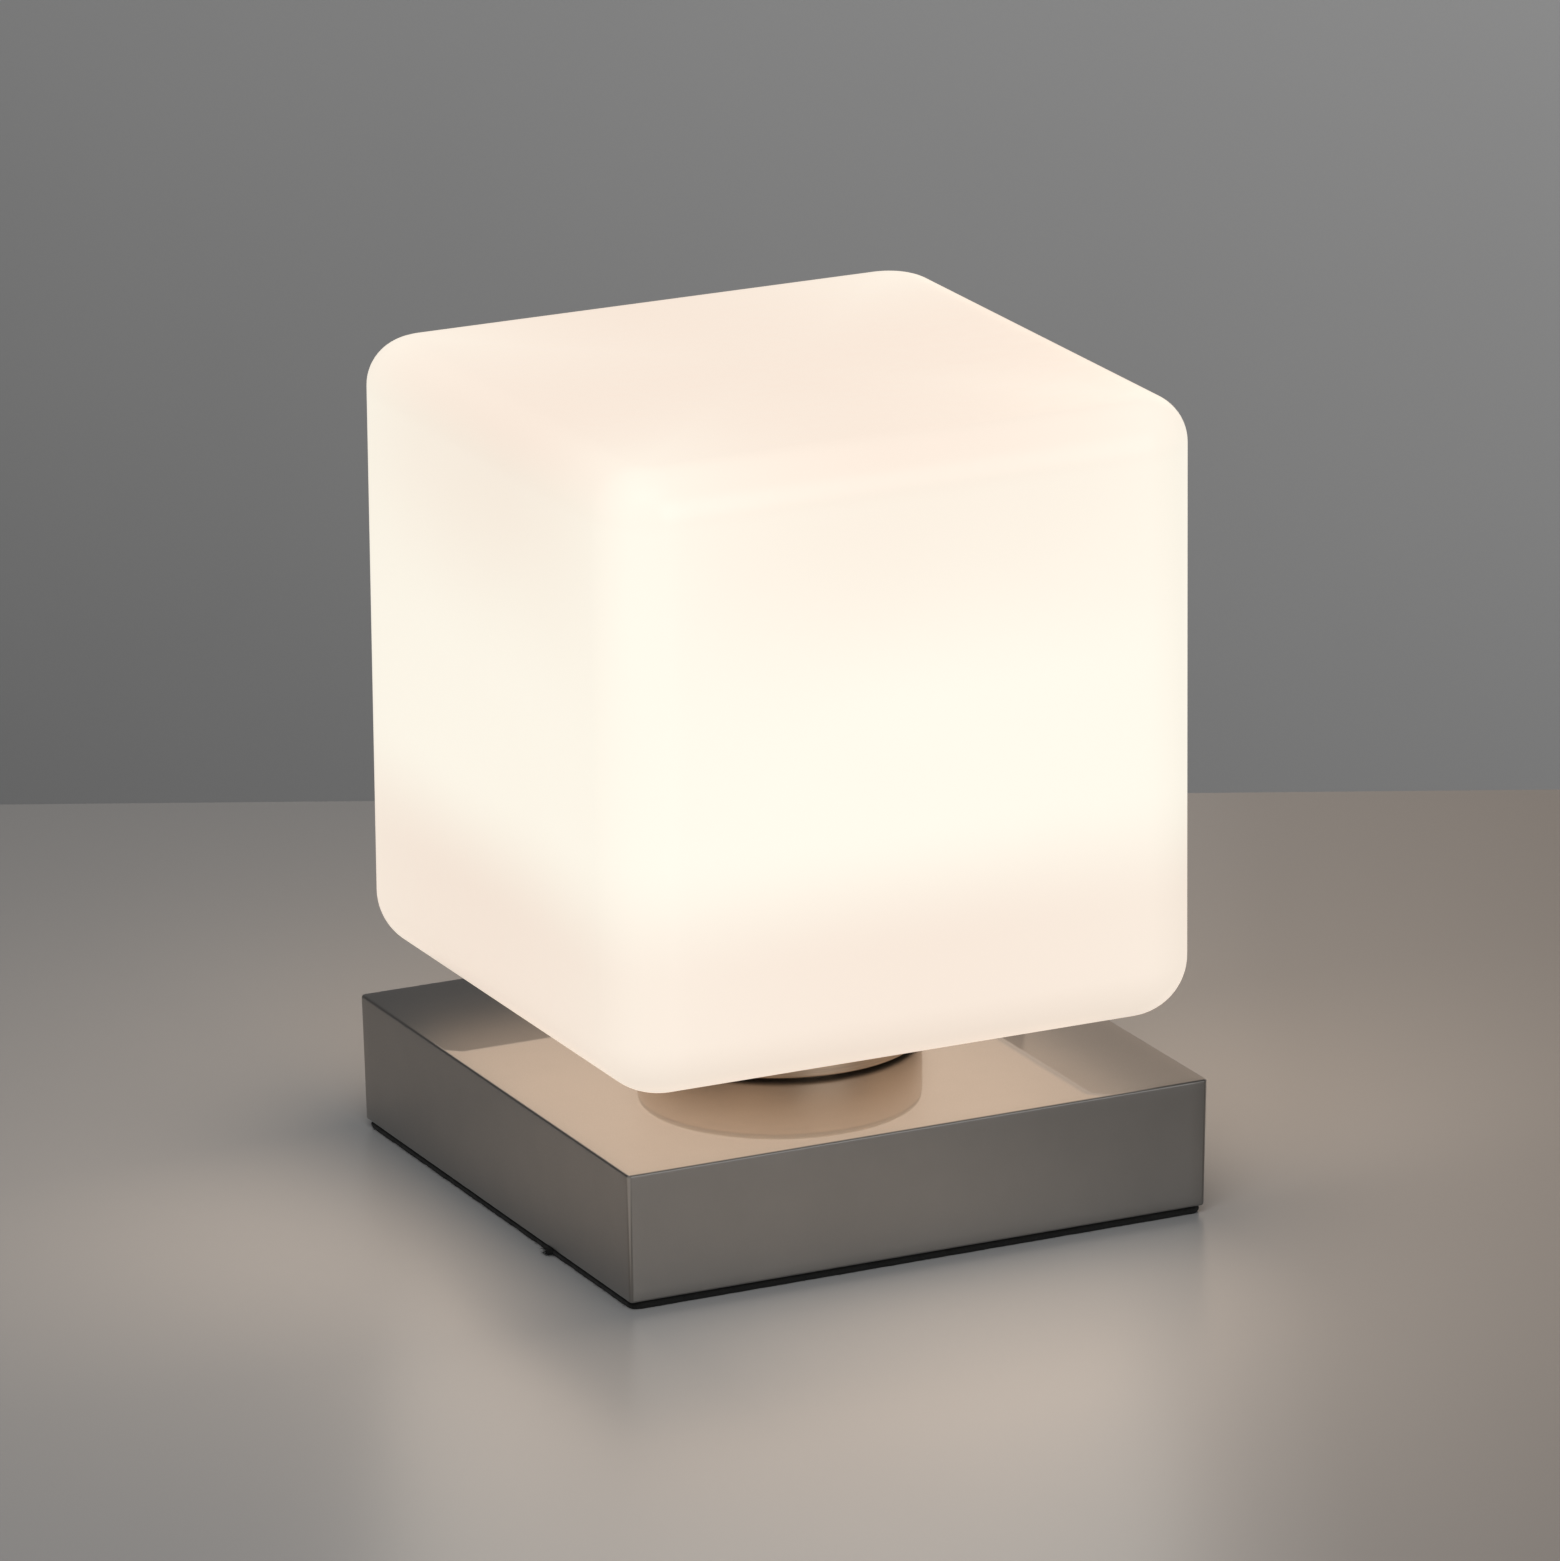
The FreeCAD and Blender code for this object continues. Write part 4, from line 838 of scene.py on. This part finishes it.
def glass_cube():
    """The opal glass: an outer and an inner skin joined round the fire-polished edge of the mouth."""
    glass = settings("glass")
    low, wall, polish = GLASS_LOW[2], glass.wall, glass.mouth_edge_radius
    mouth = glass.mouth_radius + polish

    def skin(depth):
        """The skin that lies a depth inside the glass's outer face, and its points' angles."""
        return glass_skin(
            GLASS_HIGH[0] - depth, glass.corner_radius - depth, low + depth, GLASS_HIGH[2] - depth,
            glass.top_edge_radius - depth, glass.bottom_edge_radius - depth, mouth)

    outer, angle = skin(0.0)
    inner, _ = skin(wall)
    lip_low = arc_of(polish, 270, 180, 7)[1:] + (mouth, low + polish)
    lip_high = arc_of(polish, 180, 90, 7)[:-1] + (mouth, low + wall - polish)
    radius, height = np.concatenate([lip_low, lip_high]).T[:, :, None]
    band = np.stack([radius * np.cos(angle), radius * np.sin(angle), height + 0 * angle], -1)
    points = np.concatenate([outer, band, inner[::-1]])
    cube = mesh_from_arrays("glass_cube", points, grid_faces(*points.shape[:2]))
    close_skin(cube)
    dress(cube, "opal_glass")
    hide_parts("glass_shade")
    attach(cube, "shade")


def diffuser_dome():
    """The opal cap on the light source: a skirt under a shallow arch, turned about the axis."""
    low, high = DOME_LOW[2], DOME_HIGH[2]
    wall, skirt, chamfer = 1.5 * MM, 13.0 * MM, 0.2 * MM
    bead_depth, bead_height = 0.9 * MM, 1.2 * MM
    outer, edge = DOME_HIGH[0], low + skirt
    inner = outer - wall
    bead = inner - bead_depth

    def arch(radius, rise):
        """Radius and height along an arch of a given half width and rise, from foot to crown."""
        sphere = (radius ** 2 + rise ** 2) / (2 * rise)
        angle = np.linspace(math.asin(min(1, radius / sphere)), 0, 33)
        return np.stack([sphere * np.sin(angle), edge + rise - sphere * (1 - np.cos(angle))], -1)

    skirt_rows = np.array([
        (inner, edge), (inner, low + bead_height), (bead, low + bead_height - chamfer),
        (bead, low + chamfer), (inner, low), (outer - chamfer, low), (outer, low + chamfer),
        (outer, edge)])
    profile = np.concatenate([
        arch(inner, high - edge - wall)[::-1], skirt_rows, arch(outer, high - edge)])
    dome = close_skin(lathe("diffuser_dome", profile, 160), 60)
    dress(dome, "opal_plastic")
    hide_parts("led_diffuser")
    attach(dome, "base")


# The stage: floor, backdrop, lights and camera

def stage_place(right, ahead, up=0.0):
    """A place or direction, as its parts right, ahead and up in the photograph's level view."""
    turn = math.radians(CAMERA_YAW)
    c, s = math.cos(turn), math.sin(turn)
    return np.array([right * c + ahead * s, ahead * c - right * s, up])


def distance_right(finish):
    """How far a surface's place lies to the right of the lamp: x cos(yaw) - y sin(yaw)."""
    x, y, _ = finish.split()
    right_x, right_y, _ = stage_place(1.0, 0.0)
    return finish.math(
        "ADD", finish.math("MULTIPLY", x, right_x), finish.math("MULTIPLY", y, right_y))


def flat_sheet(name, corner, along, across, count=9):
    """A flat sheet from a corner: corner + u along + v across, with u and v from 0 to 1."""
    share = np.linspace(0, 1, count)
    points = corner + share[:, None, None] * along + share[None, :, None] * across
    return mesh_from_arrays(name, points, grid_faces(count, count, closed_columns=False))


def table_top():
    """A wide flat table top with a satin finish, which ends in a straight edge behind the lamp.

    With u the distance to the right of the lamp, painted shade takes its colour towards the darker one
    as
    0.62 smoothstep(55 to 105 mm) plus 0.38 of the way from 90 to 160 mm.
    """
    stage = settings("stage")
    wide, reach = 3.0, 1.8
    table = flat_sheet(
        "table_top", stage_place(-wide, -reach), stage_place(2 * wide, 0.0),
        stage_place(0.0, reach + stage.table_edge))
    finish = Finish("table_top")
    # painted shade: the colour darkens towards the right of the lamp
    right = distance_right(finish)
    near = finish.spread(right, 55 * MM, 105 * MM, 0.0, 0.62, smooth=True)
    far = finish.spread(right, 90 * MM, 160 * MM, 0.0, 0.38)
    finish.set(
        Base_Color=finish.blend(
            finish.math("ADD", near, far), tuple(stage.floor_colour), tuple(stage.floor_painted_shade)),
        Roughness=0.285, IOR=1.9)
    table.data.materials.append(finish.material)


def backdrop():
    """A plain wall far behind the table, with painted light that makes it lighter towards its top and
    right.

    With u the distance to the right of the lamp, the share of the painted light colour rises with
    0.62 u + 1.05 z, and falls again over the heights that only other views show.
    """
    stage = settings("stage")
    wide, low, high = 4.0, -2.0, 3.0
    wall = flat_sheet(
        "backdrop", stage_place(-wide, stage.wall_distance, low), stage_place(2 * wide, 0.0),
        stage_place(0.0, 0.0, high - low))
    finish = Finish("backdrop")
    right, z = distance_right(finish), finish.split()[2]
    # painted light: the share of the lighter colour grows towards the right and upwards
    slope = finish.math("ADD", finish.math("MULTIPLY", right, 0.62), finish.math("MULTIPLY", z, 1.05))
    mottle = finish.spread(finish.noise(6.0, 3.0), 0.3, 0.7, -0.02, 0.02)
    share = finish.math("ADD", finish.spread(slope, -1.02, -0.24), mottle)
    # the painted light fades out again above the table's level
    painted_light_fade = finish.spread(z, -0.35, 0.2, smooth=True)
    share = finish.math("SUBTRACT", share, painted_light_fade, clamp=True)
    finish.set(
        Base_Color=finish.blend(share, tuple(stage.backdrop_painted_shade), tuple(stage.backdrop_painted_light)),
        Roughness=0.9, Specular_IOR_Level=0.1)
    wall.data.materials.append(finish.material)


def soft_light(name, place, target, size, power, colour, hidden_from=()):
    """A large square light that looks from a place at a target, hidden from some kinds of ray."""
    lamp = bpy.data.lights.new(name, "AREA")
    lamp.shape, lamp.size, lamp.energy, lamp.color = "SQUARE", size, power, colour
    light = bpy.data.objects.new(name, lamp)
    light.rotation_mode = "QUATERNION"
    light.rotation_quaternion = (Vector(place) - Vector(target)).to_track_quat("Z", "Y")
    light.location = place
    for rays in hidden_from:
        setattr(light, "visible_" + rays, False)
    bpy.context.scene.collection.objects.link(light)
    return light


def studio_lights():
    """An even sky, a large soft light above the front, a low, weak one at the front right and a
    small warm reflector at the rear right.

    The sky lights matt surfaces evenly; seen straight or in a mirror it is the grey of the room.
    """
    stage = settings("stage")
    world = bpy.data.worlds.new("studio_sky")
    bpy.context.scene.world = world
    world.use_nodes = True
    nodes, links = world.node_tree.nodes, world.node_tree.links
    sky, room = nodes["Background"], nodes.new("ShaderNodeBackground")
    for background, strength in ((sky, stage.sky_strength), (room, stage.room_grey)):
        background.inputs["Color"].default_value = (*WHITE, 1.0)
        background.inputs["Strength"].default_value = strength
    path, seen = nodes.new("ShaderNodeLightPath"), nodes.new("ShaderNodeMath")
    seen.operation = "MAXIMUM"
    choice, out = nodes.new("ShaderNodeMixShader"), nodes["World Output"]
    for source, target in (
            (path.outputs["Is Camera Ray"], seen.inputs[0]),
            (path.outputs["Is Glossy Ray"], seen.inputs[1]),
            (seen.outputs[0], choice.inputs[0]), (sky.outputs[0], choice.inputs[1]),
            (room.outputs[0], choice.inputs[2]), (choice.outputs[0], out.inputs["Surface"])):
        links.new(source, target)
    middle, warm = (0.0, 0.0, GLASS_LOW[2]), (1.0, 0.76, 0.57)
    key, side = stage_place(-0.2, -1.1, 1.6), stage_place(1.29, -1.75, 0.75)
    rear = stage_place(0.31, 1.0, 0.36)
    soft_light("key_softbox", key, middle, 1.2, stage.key_strength, WHITE, ["glossy"])
    soft_light("side_softbox", side, middle, 1.5, stage.side_strength, WHITE)
    soft_light("rear_reflector", rear, middle, 0.5, stage.rear_strength, warm, ["camera"])


def lamp_light():
    """The light that the glass throws on the table, as one panel just off each of its sides."""
    stage, glass = settings("stage"), settings("glass")
    half, gap, warm = GLASS_HIGH[0], 0.5 * MM, (1.0, 0.78, 0.60)
    low, high = GLASS_LOW[2] + 2 * MM, GLASS_HIGH[2] - glass.top_edge_radius
    for turn in range(4):
        angle = turn * math.pi / 2
        out = np.array([math.cos(angle), math.sin(angle), 0.0])
        place = out * (half + gap) + (0.0, 0.0, (low + high) / 2)
        panel = soft_light(
            f"glass_light_{turn + 1}", place, place + out, 2 * (half - glass.corner_radius),
            stage.glow_strength, warm, ["camera", "glossy"])
        panel.data.shape, panel.data.size_y = "RECTANGLE", high - low


def photo_camera():
    """The camera at the photograph's viewing angle, from the solved yaw, pitch and roll."""
    yaw, pitch, roll = (math.radians(a) for a in (CAMERA_YAW, CAMERA_PITCH, CAMERA_ROLL))
    data = bpy.data.cameras.new("photo_camera")
    data.sensor_width = SENSOR_WIDTH_MM
    data.sensor_fit = "AUTO"
    data.lens = CAMERA_FOCAL_PX * SENSOR_WIDTH_MM / FRAME_LONG_SIDE_PX
    data.clip_start, data.clip_end = 0.1, 20.0
    camera = bpy.data.objects.new("photo_camera", data)
    camera.matrix_world = (
        Matrix.Translation(CAMERA_PLACE) @ Matrix.Rotation(-yaw, 4, "Z")
        @ Matrix.Rotation(math.pi / 2 - pitch, 4, "X") @ Matrix.Rotation(roll, 4, "Z"))
    bpy.context.scene.collection.objects.link(camera)
    bpy.context.scene.camera = camera


# Operators, one for each piece or group of like pieces

class LAMP_OT_base_shell(bpy.types.Operator):
    """Build the cast base in satin nickel"""
    bl_idname = "lamp.base_shell"
    bl_label = "Base"

    def execute(self, context):
        base_shell()
        return {"FINISHED"}


class LAMP_OT_felt_foot(bpy.types.Operator):
    """Build the felt pad and the loose fibres of its edge"""
    bl_idname = "lamp.felt_foot"
    bl_label = "Felt Foot"

    def execute(self, context):
        felt_foot()
        felt_fibres()
        return {"FINISHED"}


class LAMP_OT_holder(bpy.types.Operator):
    """Build the turned cup and the silicone ring on its rim"""
    bl_idname = "lamp.holder"
    bl_label = "Holder Cup and Seat"

    def execute(self, context):
        holder()
        silicone_seat()
        return {"FINISHED"}


class LAMP_OT_glass_cube(bpy.types.Operator):
    """Build the opal glass cube"""
    bl_idname = "lamp.glass_cube"
    bl_label = "Glass Cube"

    def execute(self, context):
        glass_cube()
        return {"FINISHED"}


class LAMP_OT_diffuser(bpy.types.Operator):
    """Build the lit dome over the board"""
    bl_idname = "lamp.diffuser"
    bl_label = "Diffuser Dome"

    def execute(self, context):
        diffuser_dome()
        return {"FINISHED"}


class LAMP_OT_inner_parts(bpy.types.Operator):
    """Give every carried-over part of the inside its finish"""
    bl_idname = "lamp.inner_parts"
    bl_label = "Inner Parts"

    def execute(self, context):
        slots = {part["node"]: part["material_slot"] for part in frame["record"]["subparts"]}
        for node, part in frame["nodes"].items():
            dress(part, slots[node])
        return {"FINISHED"}


class LAMP_OT_stage(bpy.types.Operator):
    """Build table top, backdrop, lights and camera"""
    bl_idname = "lamp.stage"
    bl_label = "Stage"

    def execute(self, context):
        table_top()
        backdrop()
        studio_lights()
        lamp_light()
        photo_camera()
        bpy.context.scene.view_settings.view_transform = "Standard"
        return {"FINISHED"}


class LAMP_PT_sidebar(bpy.types.Panel):
    """Lists the lamp's pieces and its main settings"""
    bl_idname = "LAMP_PT_sidebar"
    bl_label = "Cube Lamp"
    bl_space_type = "VIEW_3D"
    bl_region_type = "UI"
    bl_category = "Cube Lamp"

    def draw(self, context):
        for operator in OPERATORS:
            self.layout.operator(operator.bl_idname)
        for name in SETTINGS:
            group = settings(name)
            box = self.layout.box()
            for key in group.__annotations__:
                box.prop(group, key)


SETTINGS = {"base": BaseSettings, "felt": FeltSettings, "glass": GlassSettings, "stage": StageSettings}
OPERATORS = (
    LAMP_OT_inner_parts, LAMP_OT_base_shell, LAMP_OT_felt_foot, LAMP_OT_holder, LAMP_OT_glass_cube,
    LAMP_OT_diffuser, LAMP_OT_stage)


def register():
    for group in SETTINGS.values():
        bpy.utils.register_class(group)
    for name, group in SETTINGS.items():
        setattr(bpy.types.Scene, "lamp_" + name, PointerProperty(type=group))
    for operator in OPERATORS:
        bpy.utils.register_class(operator)
    bpy.utils.register_class(LAMP_PT_sidebar)


def unregister():
    bpy.utils.unregister_class(LAMP_PT_sidebar)
    for operator in reversed(OPERATORS):
        bpy.utils.unregister_class(operator)
    for name in SETTINGS:
        delattr(bpy.types.Scene, "lamp_" + name)
    for group in reversed(list(SETTINGS.values())):
        bpy.utils.unregister_class(group)


def main():
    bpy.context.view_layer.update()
    register()
    for operator in OPERATORS:
        group, name = operator.bl_idname.split(".")
        getattr(getattr(bpy.ops, group), name)()


if __name__ == "__main__":
    main()
